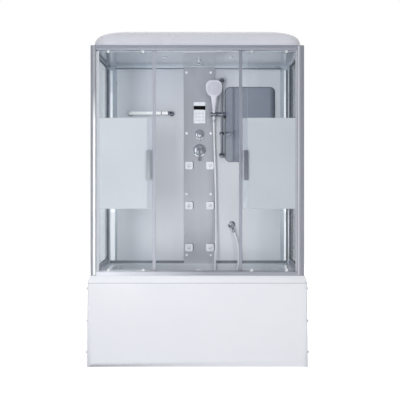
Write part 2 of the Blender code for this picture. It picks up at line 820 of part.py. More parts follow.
def apron():
    """A vacuum-formed front sheet with a return at each side."""
    top = TRAY_SEAM_Z - GAP
    front = -TRAY_HALF_DEPTH
    rows = []
    for z, half in ((APRON_CLEARANCE, APRON_FOOT_HALF_WIDTH), (top, TRAY_HALF_WIDTH)):
        row = [Vector((-half, front + APRON_RETURN, z))]
        for side in (-1, 1):
            for step in range(5):
                angle = math.pi / 2 * (step / 4 if side < 0 else 1 - step / 4)
                row.append(
                    Vector(
                        (
                            side * (half - TRAY_CORNER * (1 - math.cos(angle))),
                            front + TRAY_CORNER * (1 - math.sin(angle)),
                            z,
                        )
                    )
                )
        row.append(Vector((half, front + APRON_RETURN, z)))
        rows.append(row)
    piece = shell("front_apron", rows, APRON_SHEET, "white_acrylic", closed=False)

    def lip(work):
        top_half = APRON_FOOT_HALF_WIDTH - APRON_LIP_INSET - APRON_LIP_HEIGHT
        foot_half = APRON_FOOT_HALF_WIDTH - APRON_LIP_INSET + OVERRUN
        slope = APRON_LIP_DEPTH / APRON_LIP_HEIGHT
        foot_back = front + APRON_LIP_DEPTH + slope * OVERRUN
        bmesh.ops.create_cube(work, size=1.0)
        for vert in work.verts:
            x, y, z = vert.co
            below = z < 0
            half = foot_half if below else top_half
            back = foot_back if below else front
            vert.co = (
                math.copysign(half, x),
                back if y > 0 else front - OVERRUN,
                -OVERRUN if below else APRON_LIP_HEIGHT,
            )

    def screws(work):
        y = front + APRON_SCREW_FROM_FRONT
        for z in APRON_SCREW_HEIGHTS:
            share = z / top
            half = APRON_FOOT_HALF_WIDTH + (TRAY_HALF_WIDTH - APRON_FOOT_HALF_WIDTH) * share
            for side in (-1, 1):
                inner = side * (half - APRON_SHEET / 2)
                add_rod(
                    work,
                    (inner, y, z),
                    (side * (half + APRON_SCREW_HEAD * APRON_WASHER_SHARE), y, z),
                    APRON_SCREW_RADIUS,
                    sides=14,
                )
                add_rod(
                    work,
                    (inner, y, z),
                    (side * (half + APRON_SCREW_HEAD), y, z),
                    APRON_SCREW_RADIUS * APRON_SCREW_SHARE,
                    sides=6,
                )

    cut(piece, solid("apron_lip", lip))
    heads = solid("apron_screws", screws)
    combine(piece, heads, "UNION")
    piece.modifiers[-1].use_self = True


def support_bottom_z():
    return BASIN_FLOOR_Z - DRAIN_DROP - TRAY_WALL - GAP - STEEL_TUBE


def support_frame():
    """A welded ladder of square tube with eight levelling feet and four posts."""
    low = support_bottom_z()
    high = low + STEEL_TUBE
    rim = TRAY_RIM_Z - TRAY_WALL - GAP
    reach_x, reach_y = SUPPORT_HALF_LENGTH, SUPPORT_HALF_DEPTH
    inner_x, inner_y = reach_x - STEEL_TUBE, reach_y - STEEL_TUBE

    def rails(work):
        for sign in (-1, 1):
            ys = sorted((sign * reach_y, sign * inner_y))
            add_box(work, (-reach_x, ys[0], low), (reach_x, ys[1], high))

    def bars(work):
        half = STEEL_TUBE / 2
        between = inner_y + SINK
        for x in (-SUPPORT_CROSSBAR_X, SUPPORT_CROSSBAR_X):
            add_box(work, (x - half, -between, low + SINK), (x + half, between, high - SINK))
        for sign in (-1, 1):
            xs = sorted((sign * (reach_x - SINK), sign * (inner_x + SINK)))
            add_box(work, (xs[0], -between, low + SINK), (xs[1], between, high - SINK))

    def posts(work):
        for sign_x in (-1, 1):
            for sign_y in (-1, 1):
                xs = sorted((sign_x * (reach_x - SINK), sign_x * (inner_x + SINK)))
                ys = sorted((sign_y * (reach_y - SINK), sign_y * (inner_y + SINK)))
                add_box(work, (xs[0], ys[0], high - SINK), (xs[1], ys[1], rim))

    def feet(work):
        corner_x, corner_y = reach_x - STEEL_TUBE / 2, reach_y - STEEL_TUBE / 2
        pad_top = FOOT_PAD_HEIGHT
        for x in (-corner_x, -SUPPORT_CROSSBAR_X, SUPPORT_CROSSBAR_X, corner_x):
            for y in (-corner_y, corner_y):
                add_rod(work, (x, y, 0.0), (x, y, pad_top), FOOT_PAD_RADIUS, sides=12)
                start, end = (x, y, pad_top - SINK), (x, y, low + SINK)
                add_rod(work, start, end, FOOT_ROD_RADIUS, sides=8)

    piece = solid("support_frame", rails, "galvanised_steel")
    for name, build in (("support_bars", bars), ("support_posts", posts), ("support_feet", feet)):
        combine(piece, solid(name, build), "UNION")
        piece.modifiers[-1].use_self = True


def waste_trap():
    """A bottle trap under the drain, with the overflow pipe and the outlet."""
    under = BASIN_FLOOR_Z - DRAIN_DROP - TRAY_WALL - GAP
    trap = turned(
        "waste_trap",
        [
            (0.0, under),
            (TRAP_FLANGE_RADIUS, under),
            (TRAP_FLANGE_RADIUS, under - TRAP_FLANGE),
            (TRAP_NECK_RADIUS, under - TRAP_FLANGE),
            (TRAP_NECK_RADIUS, TRAP_TOP_Z),
            (TRAP_RADIUS, TRAP_TOP_Z),
            (TRAP_RADIUS, TRAP_BOTTOM_Z + TRAP_NECK_RADIUS / 2),
            (TRAP_NECK_RADIUS, TRAP_BOTTOM_Z),
            (0.0, TRAP_BOTTOM_Z),
        ],
        (0.0, DRAIN_Y, 0.0),
        "up",
        "grey_plastic",
    )
    wall = Vector((0.0, basin_wall_y(OVERFLOW_Z), OVERFLOW_Z))
    turn = basin_wall_turn()
    out = (turn @ Vector((0, 0, -1))).normalized()
    seat = wall + out * (TRAY_WALL + GAP)
    pipe_top = Vector((0.0, OVERFLOW_PIPE_Y, seat.z - OVERFLOW_PIPE_BEND / 2))
    mid_z = (TRAP_TOP_Z + TRAP_BOTTOM_Z + TRAP_NECK_RADIUS / 2) / 2
    pipe = tube(
        "overflow_pipe",
        rounded_path(
            [
                pipe_top,
                (0.0, OVERFLOW_PIPE_Y, mid_z + WASTE_PIPE_RADIUS),
                (0.0, DRAIN_Y, mid_z + WASTE_PIPE_RADIUS),
            ],
            OVERFLOW_PIPE_BEND,
        ),
        OVERFLOW_PIPE_RADIUS,
    )

    def flange(work):
        add_rod(work, seat, seat + out * OVERFLOW_PIPE_FLANGE, OVERFLOW_HOLE_RADIUS + TRAY_WALL)
        end = Vector((0.0, OVERFLOW_PIPE_Y, seat.z))
        inside = seat + out * OVERFLOW_PIPE_FLANGE / 2
        add_rod(work, inside, end, OVERFLOW_PIPE_RADIUS - SINK)
        add_rod(
            work,
            pipe_top - Vector((0, 0, SINK)),
            pipe_top + Vector((0, 0, OVERFLOW_PIPE_BEND)),
            OVERFLOW_PIPE_RADIUS + SINK,
            sides=16,
        )

    def outlet(work):
        start = (0.0, DRAIN_Y, WASTE_PIPE_Z)
        add_rod(work, start, (0.0, WASTE_PIPE_END_Y, WASTE_PIPE_Z), WASTE_PIPE_RADIUS)

    def bore(work):
        add_rod(
            work,
            (0.0, WASTE_PIPE_END_Y - WASTE_BORE_DEPTH, WASTE_PIPE_Z),
            (0.0, WASTE_PIPE_END_Y + OVERRUN, WASTE_PIPE_Z),
            WASTE_PIPE_RADIUS - WASTE_PIPE_WALL,
        )

    collar = solid("overflow_flange", flange)
    unite(trap, pipe)
    combine(trap, collar, "UNION")
    trap.modifiers[-1].use_self = True
    unite(trap, solid("waste_outlet", outlet))
    cut(trap, solid("waste_bore", bore))


def front_post_section(side):
    """A post's plan, with slots for the fixed glass and for the side glass."""
    outer, inner = POST_HALF_WIDTH, POST_HALF_WIDTH - POST_WIDTH
    front, back = FRAME_FRONT_Y, FRAME_FRONT_Y + POST_WIDTH
    fixed = FIXED_GLASS / 2 + GAP
    glass = SIDE_GLASS / 2 + GAP
    points = [
        (inner, front),
        (inner, FIXED_GLASS_Y - fixed),
        (inner + SIDE_GLASS_SEAT, FIXED_GLASS_Y - fixed),
        (inner + SIDE_GLASS_SEAT, FIXED_GLASS_Y + fixed),
        (inner, FIXED_GLASS_Y + fixed),
        (inner, back),
        (SIDE_GLASS_X - glass, back),
        (SIDE_GLASS_X - glass, back - SIDE_GLASS_SEAT),
        (SIDE_GLASS_X + glass, back - SIDE_GLASS_SEAT),
        (SIDE_GLASS_X + glass, back),
        (outer, back),
    ]
    for step in range(5):
        angle = math.pi / 2 * step / 4
        points.append(
            (
                outer - POST_ROUND * (1 - math.cos(angle)),
                front + POST_ROUND * (1 - math.sin(angle)),
            )
        )
    return [(side * x, y) for x, y in points]


def front_frame():
    """Two posts and two rails. The rails hold the door track."""
    base = TRAY_RIM_Z + GAP
    half = POST_HALF_WIDTH - POST_WIDTH - GAP
    slot_front = FIXED_GLASS_Y - FIXED_GLASS / 2 - GAP
    slot_back = FIXED_GLASS_Y + FIXED_GLASS / 2 + GAP
    web_back = slot_back + RAIL_WALL
    bead_front, bead_back = BEAD_Y - BEAD_WIDTH / 2, BEAD_Y + BEAD_WIDTH / 2
    web_top = BOTTOM_RAIL_TOP_Z - BOTTOM_RAIL_WEB_DROP
    floor = base + RAIL_WALL
    bar(
        "front_bottom_rail",
        [
            (FRAME_FRONT_Y, base),
            (FRAME_FRONT_Y, BOTTOM_RAIL_TOP_Z),
            (slot_front, BOTTOM_RAIL_TOP_Z),
            (slot_front, BOTTOM_RAIL_TOP_Z - GLASS_SEAT),
            (slot_back, BOTTOM_RAIL_TOP_Z - GLASS_SEAT),
            (slot_back, web_top),
            (web_back, web_top),
            (web_back, floor),
            (bead_front, floor),
            (bead_front, GUIDE_BEAD_TOP_Z),
            (bead_back, GUIDE_BEAD_TOP_Z),
            (bead_back, floor),
            (RAIL_BACK_Y - RAIL_WALL, floor),
            (RAIL_BACK_Y - RAIL_WALL, BOTTOM_RAIL_TOP_Z),
            (RAIL_BACK_Y, BOTTOM_RAIL_TOP_Z),
            (RAIL_BACK_Y, base),
        ],
        "YZ",
        -half,
        half,
        "aluminium",
    )
    roof = FRAME_TOP_Z - RAIL_WALL
    slot_top = TOP_RAIL_LIP_Z + GLASS_SEAT_TOP
    flange_top = TOP_RAIL_FLANGE_Z + TOP_RAIL_FLANGE
    bar(
        "front_top_rail",
        [
            (FRAME_FRONT_Y, TOP_RAIL_LIP_Z),
            (FRAME_FRONT_Y, FRAME_TOP_Z),
            (RAIL_BACK_Y, FRAME_TOP_Z),
            (RAIL_BACK_Y, TOP_RAIL_FLANGE_Z),
            (bead_front, TOP_RAIL_FLANGE_Z),
            (bead_front, BEAD_TOP_Z),
            (bead_back, BEAD_TOP_Z),
            (bead_back, flange_top),
            (RAIL_BACK_Y - RAIL_WALL, flange_top),
            (RAIL_BACK_Y - RAIL_WALL, roof),
            (web_back, roof),
            (web_back, TOP_RAIL_WEB_Z),
            (slot_back, TOP_RAIL_WEB_Z),
            (slot_back, slot_top),
            (slot_front, slot_top),
            (slot_front, TOP_RAIL_LIP_Z),
        ],
        "YZ",
        -half,
        half,
        "aluminium",
    )
    for name, side in SIDES.items():
        bar(f"front_post_{name}", front_post_section(side), "XY", base, FRAME_TOP_Z, "aluminium")


def fixed_glass():
    inner = POST_HALF_WIDTH - POST_WIDTH + SIDE_GLASS_SEAT - GAP
    low = BOTTOM_RAIL_TOP_Z - GLASS_SEAT + GAP
    high = TOP_RAIL_LIP_Z + GLASS_SEAT_TOP - GAP
    for name, side in SIDES.items():
        xs = sorted((side * FIXED_GLASS_EDGE_X, side * inner))
        solid(
            f"fixed_glass_{name}",
            lambda work, xs=xs: add_box(
                work,
                (xs[0], FIXED_GLASS_Y - FIXED_GLASS / 2, low),
                (xs[1], FIXED_GLASS_Y + FIXED_GLASS / 2, high),
            ),
            "clear_glass",
        )


def side_frame():
    """Side glass in a bottom rail, a top rail and the corner posts."""
    base = TRAY_RIM_Z + GAP
    front = FRAME_FRONT_Y + POST_WIDTH + GAP
    back = REAR_POST_ARM_FRONT_Y - GAP
    slot_in = SIDE_GLASS_X - SIDE_GLASS / 2 - GAP
    slot_out = SIDE_GLASS_X + SIDE_GLASS / 2 + GAP
    low_slot = SIDE_BOTTOM_RAIL_TOP_Z - SIDE_GLASS_SEAT
    high_slot = SIDE_TOP_RAIL_BOTTOM_Z + SIDE_GLASS_SEAT
    for name, side in SIDES.items():
        bottom = [
            (SIDE_RAIL_INNER_X, base),
            (SIDE_RAIL_OUTER_X, base),
            (SIDE_RAIL_OUTER_X, SIDE_BOTTOM_RAIL_TOP_Z),
            (slot_out, SIDE_BOTTOM_RAIL_TOP_Z),
            (slot_out, low_slot),
            (slot_in, low_slot),
            (slot_in, SIDE_BOTTOM_RAIL_TOP_Z),
            (SIDE_RAIL_INNER_X, SIDE_BOTTOM_RAIL_TOP_Z),
        ]
        top = [
            (SIDE_TOP_RAIL_INNER_X, SIDE_TOP_RAIL_BOTTOM_Z),
            (slot_in, SIDE_TOP_RAIL_BOTTOM_Z),
            (slot_in, high_slot),
            (slot_out, high_slot),
            (slot_out, SIDE_TOP_RAIL_BOTTOM_Z),
            (SIDE_RAIL_OUTER_X, SIDE_TOP_RAIL_BOTTOM_Z),
            (SIDE_RAIL_OUTER_X, FRAME_TOP_Z),
            (SIDE_TOP_RAIL_INNER_X, FRAME_TOP_Z),
        ]
        for where, section in (("bottom", bottom), ("top", top)):
            points = [(side * x, z) for x, z in section]
            bar(f"side_{where}_rail_{name}", points, "XZ", front, back, "aluminium")
        xs = sorted((side * (slot_in + GAP), side * (slot_out - GAP)))
        ys = (front - SIDE_GLASS_SEAT, back + SIDE_GLASS_SEAT)
        solid(
            f"side_glass_{name}",
            lambda work, xs=xs, ys=ys: add_box(
                work, (xs[0], ys[0], low_slot + GAP), (xs[1], ys[1], high_slot - GAP)
            ),
            "clear_glass",
        )


def rear_frame():
    """Polished corner posts, a rail under the wall panels and one above."""
    base = TRAY_RIM_Z + GAP
    glass_in = SIDE_GLASS_X - SIDE_GLASS / 2 - GAP
    glass_out = SIDE_GLASS_X + SIDE_GLASS / 2 + GAP
    glass_end = REAR_POST_ARM_FRONT_Y + SIDE_GLASS_SEAT + GAP
    panel_front = BACK_WALL_Y - GAP
    panel_back = BACK_WALL_Y + BACK_PANEL + GAP
    slot_end = REAR_POST_INNER_X + REAR_SLOT_DEPTH
    for name, side in SIDES.items():
        section = [
            (REAR_POST_INNER_X, REAR_FRAME_FRONT_Y),
            (REAR_POST_ARM_INNER_X, REAR_FRAME_FRONT_Y),
            (REAR_POST_ARM_INNER_X, REAR_POST_ARM_FRONT_Y),
            (glass_in, REAR_POST_ARM_FRONT_Y),
            (glass_in, glass_end),
            (glass_out, glass_end),
            (glass_out, REAR_POST_ARM_FRONT_Y),
            (REAR_POST_OUTER_X, REAR_POST_ARM_FRONT_Y),
            (REAR_POST_OUTER_X, REAR_FRAME_BACK_Y),
            (REAR_POST_INNER_X, REAR_FRAME_BACK_Y),
            (REAR_POST_INNER_X, panel_back),
            (slot_end, panel_back),
            (slot_end, panel_front),
            (REAR_POST_INNER_X, panel_front),
        ]
        points = [(side * x, y) for x, y in section]
        bar(f"rear_post_{name}", points, "XY", base, FRAME_TOP_Z, "aluminium")
    front = REAR_FRAME_FRONT_Y + GAP
    half = REAR_POST_INNER_X - GAP
    low_slot = REAR_BOTTOM_RAIL_TOP_Z - BACK_PANEL_SEAT
    high_slot = REAR_TOP_RAIL_BOTTOM_Z + BACK_PANEL_SEAT
    bar(
        "rear_bottom_rail",
        [
            (front, base),
            (REAR_FRAME_BACK_Y, base),
            (REAR_FRAME_BACK_Y, REAR_BOTTOM_RAIL_TOP_Z),
            (panel_back, REAR_BOTTOM_RAIL_TOP_Z),
            (panel_back, low_slot),
            (panel_front, low_slot),
            (panel_front, REAR_BOTTOM_RAIL_TOP_Z),
            (front, REAR_BOTTOM_RAIL_TOP_Z),
        ],
        "YZ",
        -half,
        half,
        "aluminium",
    )
    bar(
        "rear_top_rail",
        [
            (front, REAR_TOP_RAIL_BOTTOM_Z),
            (panel_front, REAR_TOP_RAIL_BOTTOM_Z),
            (panel_front, high_slot),
            (panel_back, high_slot),
            (panel_back, REAR_TOP_RAIL_BOTTOM_Z),
            (REAR_TOP_RAIL_BACK_Y, REAR_TOP_RAIL_BOTTOM_Z),
            (REAR_TOP_RAIL_BACK_Y, FRAME_TOP_Z),
            (front, FRAME_TOP_Z),
        ],
        "YZ",
        -half,
        half,
        "aluminium",
    )
    for name, side in SIDES.items():
        inner = COLUMN_HALF_WIDTH - COLUMN_LAP + side * COLUMN_X
        xs = sorted((side * inner, side * (slot_end - GAP)))
        solid(
            f"back_panel_{name}",
            lambda work, xs=xs: add_box(
                work,
                (xs[0], BACK_WALL_Y, low_slot + GAP),
                (xs[1], BACK_WALL_Y + BACK_PANEL, high_slot - GAP),
            ),
            "wall_panel",
        )


def roof():
    """A thin acrylic dome on the frame, and a flat ceiling under it."""
    centre = (0.0, (DOME_FRONT_Y + DOME_BACK_Y) / 2)
    half_depth = (DOME_BACK_Y - DOME_FRONT_Y) / 2
    power = 2 / DOME_POWER
    foot = FRAME_TOP_Z + GAP
    rows = [ring(DOME_HALF_LENGTH, half_depth, DOME_CORNER, foot, centre, steps=4)]
    for step in range(DOME_RINGS):
        angle = DOME_TOP_ANGLE * step / (DOME_RINGS - 1)
        inset = DOME_SPREAD * (1 - math.cos(angle) ** power)
        rows.append(
            ring(
                DOME_HALF_LENGTH - inset,
                half_depth - inset,
                DOME_CORNER + inset * DOME_CORNER_GROWTH,
                foot + DOME_FOOT + (DOME_HEIGHT - DOME_FOOT) * math.sin(angle) ** power,
                centre,
                steps=4,
            )
        )
    shell("roof_dome", rows, DOME_WALL, "white_acrylic", cap_last=True)

    half = SIDE_TOP_RAIL_INNER_X - GAP
    front, back = RAIL_BACK_Y + GAP, REAR_FRAME_FRONT_Y - GAP
    band = COLUMN_HALF_WIDTH

    def sheet(work):
        add_box(work, (-half, front, CEILING_Z), (half, back, CEILING_Z + CEILING_SHEET))

    def fittings(work):
        add_box(
            work,
            (COLUMN_X - band, front + SINK, CEILING_Z - CEILING_BAND),
            (COLUMN_X + band, back - SINK, CEILING_Z + SINK),
        )
        for x in (-CEILING_SPOT_X, CEILING_SPOT_X):
            add_rod(
                work,
                (x, CEILING_SPOT_Y, CEILING_Z - CEILING_SPOT_DROP),
                (x, CEILING_SPOT_Y, CEILING_Z + SINK),
                CEILING_SPOT_RADIUS,
                sides=16,
            )

    def socket(work):
        low = CEILING_Z - CEILING_BAND - RAIN_SOCKET_HEIGHT
        add_rod(work, (COLUMN_X, 0.0, low), (COLUMN_X, 0.0, CEILING_Z), RAIN_SOCKET_RADIUS)

    def socket_bore(work):
        low = CEILING_Z - CEILING_BAND - RAIN_SOCKET_HEIGHT
        add_rod(
            work,
            (COLUMN_X, 0.0, low - OVERRUN),
            (COLUMN_X, 0.0, CEILING_Z),
            RAIN_BALL_RADIUS + GAP,
        )

    ceiling = solid("ceiling_panel", sheet, "white_acrylic")
    unite(ceiling, solid("ceiling_fittings", fittings), solid("rain_socket", socket))
    cut(ceiling, solid("rain_socket_bore", socket_bore))

    head_low = -RAIN_HEAD_TOP - RAIN_HEAD_HEIGHT
    profile = arc_profile(RAIN_BALL_RADIUS, 80, -50, 5, from_axis=True)
    profile += [
        (RAIN_NECK_RADIUS, -RAIN_BALL_RADIUS),
        (RAIN_NECK_RADIUS, -RAIN_HEAD_TOP),
        (RAIN_HEAD_RADIUS * RAIN_CROWN_SHARE, -RAIN_HEAD_TOP),
        (RAIN_HEAD_RADIUS, head_low + RAIN_HEAD_HEIGHT * RAIN_RIM_SHARE),
        (RAIN_HEAD_RADIUS, head_low),
        (0.0, head_low),
    ]
    ball = (COLUMN_X, 0.0, CEILING_Z - CEILING_BAND - RAIN_BALL_DROP)
    turned("rain_shower", profile, ball, "up", "chrome")


def arc_profile(radius, start, end, steps, from_axis=False):
    """Points of a ball's outline from one latitude down to another."""
    points = []
    for step in range(steps + 1):
        angle = math.radians(start + (end - start) * step / steps)
        points.append((radius * math.cos(angle), radius * math.sin(angle)))
    if from_axis:
        points.insert(0, (0.0, points[0][1]))
    return points


def jet_places():
    return [(COLUMN_X + side * JET_X, z) for z in JET_HEIGHTS for side in (-1, 1)]


def column():
    """A pressed cover with the jet plates, the fixing caps and the cups."""
    left, right = COLUMN_X - COLUMN_HALF_WIDTH, COLUMN_X + COLUMN_HALF_WIDTH
    back = COLUMN_FRONT_Y + COLUMN_SHEET
    low = TRAY_RIM_Z + GAP
    flange_low = REAR_BOTTOM_RAIL_TOP_Z + GAP
    wall = BACK_WALL_Y - GAP
    ball_y = COLUMN_FRONT_Y - JET_PLATE_THICKNESS + JET_BALL_SINK
    socket = JET_BALL_RADIUS + JET_BALL_CLEARANCE

    def plate(work):
        add_box(work, (left, COLUMN_FRONT_Y, low), (right, back, COLUMN_TOP_Z))

    def fittings(work):
        for x in (left, right - COLUMN_FLANGE):
            inner = x + SINK / 2 if x == left else x
            add_box(
                work,
                (inner, back - SINK, flange_low),
                (inner + COLUMN_FLANGE - SINK / 2, wall, COLUMN_FLANGE_TOP_Z),
            )
        for x, z in jet_places():
            add_plate(
                work,
                JET_PLATE / 2,
                JET_PLATE / 2,
                JET_PLATE_CORNER,
                (x, z),
                COLUMN_FRONT_Y - JET_PLATE_THICKNESS,
                COLUMN_FRONT_Y + SINK,
                edge=JET_PLATE_THICKNESS / 3,
                steps=2,
            )
            add_rod(work, (x, back - SINK, z), (x, back + JET_CUP_DEPTH, z), JET_CUP_RADIUS, sides=10)
        for z in CAP_HEIGHTS:
            for side in (-1, 1):
                x = COLUMN_X + side * CAP_X
                add_rod(
                    work,
                    (x, COLUMN_FRONT_Y + SINK, z),
                    (x, COLUMN_FRONT_Y - CAP_THICKNESS, z),
                    CAP_RADIUS,
                    sides=10,
                    end_radius=CAP_RADIUS * CAP_FACE_SHARE,
                )

    def holes(work):
        for x, z in jet_places():
            add_rod(
                work,
                (x, ball_y, z),
                (x, back + JET_CUP_DEPTH - JET_CUP_FLOOR, z),
                socket,
                sides=12,
            )
            bmesh.ops.create_uvsphere(
                work,
                u_segments=12,
                v_segments=8,
                radius=socket,
                matrix=Matrix.Translation((x, ball_y, z)) @ FACING["front"],
            )
        for z in (MIXER_Z, DIVERTER_Z):
            add_rod(
                work,
                (COLUMN_X, COLUMN_FRONT_Y - OVERRUN, z),
                (COLUMN_X, back + OVERRUN, z),
                SLEEVE_RADIUS + SLEEVE_CLEARANCE,
            )

    piece = solid("column_panel", plate, "column_panel")
    unite(piece, solid("column_fittings", fittings))
    combine(piece, solid("column_holes", holes), "DIFFERENCE")
    piece.modifiers[-1].use_self = True

    start = math.degrees(math.acos(JET_SPOUT_RADIUS / JET_BALL_RADIUS))
    end = -math.degrees(math.asin(JET_BALL_BACK / JET_BALL_RADIUS))
    profile = [(0.0, JET_SPOUT_REACH), (JET_SPOUT_RADIUS, JET_SPOUT_REACH)]
    profile += arc_profile(JET_BALL_RADIUS, start, end, 4)
    profile.append((0.0, -JET_BALL_BACK))
    for number, (x, z) in enumerate(jet_places(), 1):
        turned(f"jet_nozzle_{number}", profile, (x, ball_y, z), "front", "white_plastic", steps=12)


def knob_profile(radius, height, rose):
    """A domed knob with a blind hole for the spindle, from the rose outwards."""
    points = [(0.0, rose + height)]
    for step in range(1, 6):
        angle = math.pi / 2 * (1 - step / 5)
        points.append(
            (
                radius * math.cos(angle),
                rose + KNOB_SKIRT + (height - KNOB_SKIRT) * math.sin(angle),
            )
        )
    hole = SPINDLE_RADIUS + GAP
    depth = rose + SPINDLE_LENGTH + GAP
    return points + [(radius, rose), (hole, rose), (hole, depth), (0.0, depth)]


def valves():
    """The valve block behind the column, and the knobs in front of it."""
    rose = ROSE_THICKNESS + GAP  # outer face of a rose, from the column's face
    back = -COLUMN_SHEET - GAP
    depth = COLUMN_FRONT_Y - VALVE_BODY_BACK_Y

    def body(name, rose_radius, body_radius, z, material=None):
        return turned(
            name,
            [
                (0.0, rose + SPINDLE_LENGTH),
                (SPINDLE_RADIUS, rose + SPINDLE_LENGTH),
                (SPINDLE_RADIUS, rose),
                (rose_radius, rose),
                (rose_radius, GAP),
                (SLEEVE_RADIUS, GAP),
                (SLEEVE_RADIUS, back),
                (body_radius, back),
                (body_radius, depth),
                (0.0, depth),
            ],
            (COLUMN_X, COLUMN_FRONT_Y, z),
            "front",
            material,
        )

    mid_y = (COLUMN_FRONT_Y + COLUMN_SHEET + VALVE_BODY_BACK_Y) / 2

    def pipes(work):
        start, end = (COLUMN_X, mid_y, MIXER_Z), (COLUMN_X, mid_y, DIVERTER_Z)
        add_rod(work, start, end, VALVE_LINK_RADIUS, sides=14)

    def inlets(work):
        add_rod(
            work,
            (COLUMN_X - INLET_REACH, mid_y, MIXER_Z),
            (COLUMN_X + INLET_REACH, mid_y, MIXER_Z),
            INLET_RADIUS,
            sides=14,
        )

    block = body("valve_block", MIXER_ROSE_RADIUS, MIXER_BODY_RADIUS, MIXER_Z, "brass")
    unite(
        block,
        body("diverter_body", DIVERTER_ROSE_RADIUS, DIVERTER_BODY_RADIUS, DIVERTER_Z),
        solid("valve_link", pipes),
        solid("valve_inlets", inlets),
    )

    seat = rose + GAP
    mixer = turned(
        "mixer_knob",
        knob_profile(MIXER_KNOB_RADIUS, MIXER_KNOB_HEIGHT, seat),
        (COLUMN_X, COLUMN_FRONT_Y, MIXER_Z),
        "front",
        "chrome",
        steps=24,
    )
    pole_y = COLUMN_FRONT_Y - seat - MIXER_KNOB_HEIGHT
    half = LEVER_WIDTH / 2

    def notch(work):
        add_rod(
            work,
            (COLUMN_X - half - GAP, pole_y, MIXER_Z),
            (COLUMN_X + half + GAP, pole_y, MIXER_Z),
            LEVER_BARREL_RADIUS + GAP,
            sides=24,
        )

    cut(mixer, solid("lever_notch", notch))
    axis = pivot("mixer_lever_axis", (COLUMN_X, pole_y, MIXER_Z))
    lever = solid(
        "mixer_lever",
        lambda work: add_rod(
            work, (-half, 0.0, 0.0), (half, 0.0, 0.0), LEVER_BARREL_RADIUS, sides=24
        ),
        "chrome",
        parent=axis,
    )
    clear = -2 * GAP  # the arm's back stands clear of the dome
    arm = bar(
        "lever_arm",
        [
            (clear, 0.0),
            (clear, -LEVER_FLAT),
            (clear + LEVER_LEAN, -LEVER_REACH),
            (clear + LEVER_LEAN - LEVER_THICKNESS, -LEVER_REACH),
            (clear - LEVER_THICKNESS, -LEVER_FLAT),
            (clear - LEVER_THICKNESS, -LEVER_BARREL_RADIUS),
            (clear - LEVER_BARREL_RADIUS * LEVER_HUB_SHARE, 0.0),
        ],
        "YZ",
        -half + GAP,
        half - GAP,
        parent=axis,
    )
    unite(lever, arm)

    knob = turned(
        "diverter_knob",
        knob_profile(DIVERTER_KNOB_RADIUS, DIVERTER_KNOB_HEIGHT, seat),
        (COLUMN_X, COLUMN_FRONT_Y, DIVERTER_Z),
        "front",
        "chrome",
    )

    def grip(work):
        half_wide = DIVERTER_LEVER_WIDTH / 2
        middle = COLUMN_FRONT_Y - seat - DIVERTER_LEVER_OUT
        half_deep = DIVERTER_LEVER_THICKNESS / 2
        add_box(
            work,
            (COLUMN_X - half_wide, middle - half_deep, DIVERTER_Z - DIVERTER_LEVER_REACH),
            (COLUMN_X + half_wide, middle + half_deep, DIVERTER_Z - SPINDLE_RADIUS * 2),
            bevel=half_deep / 2,
        )

    unite(knob, solid("diverter_grip", grip))


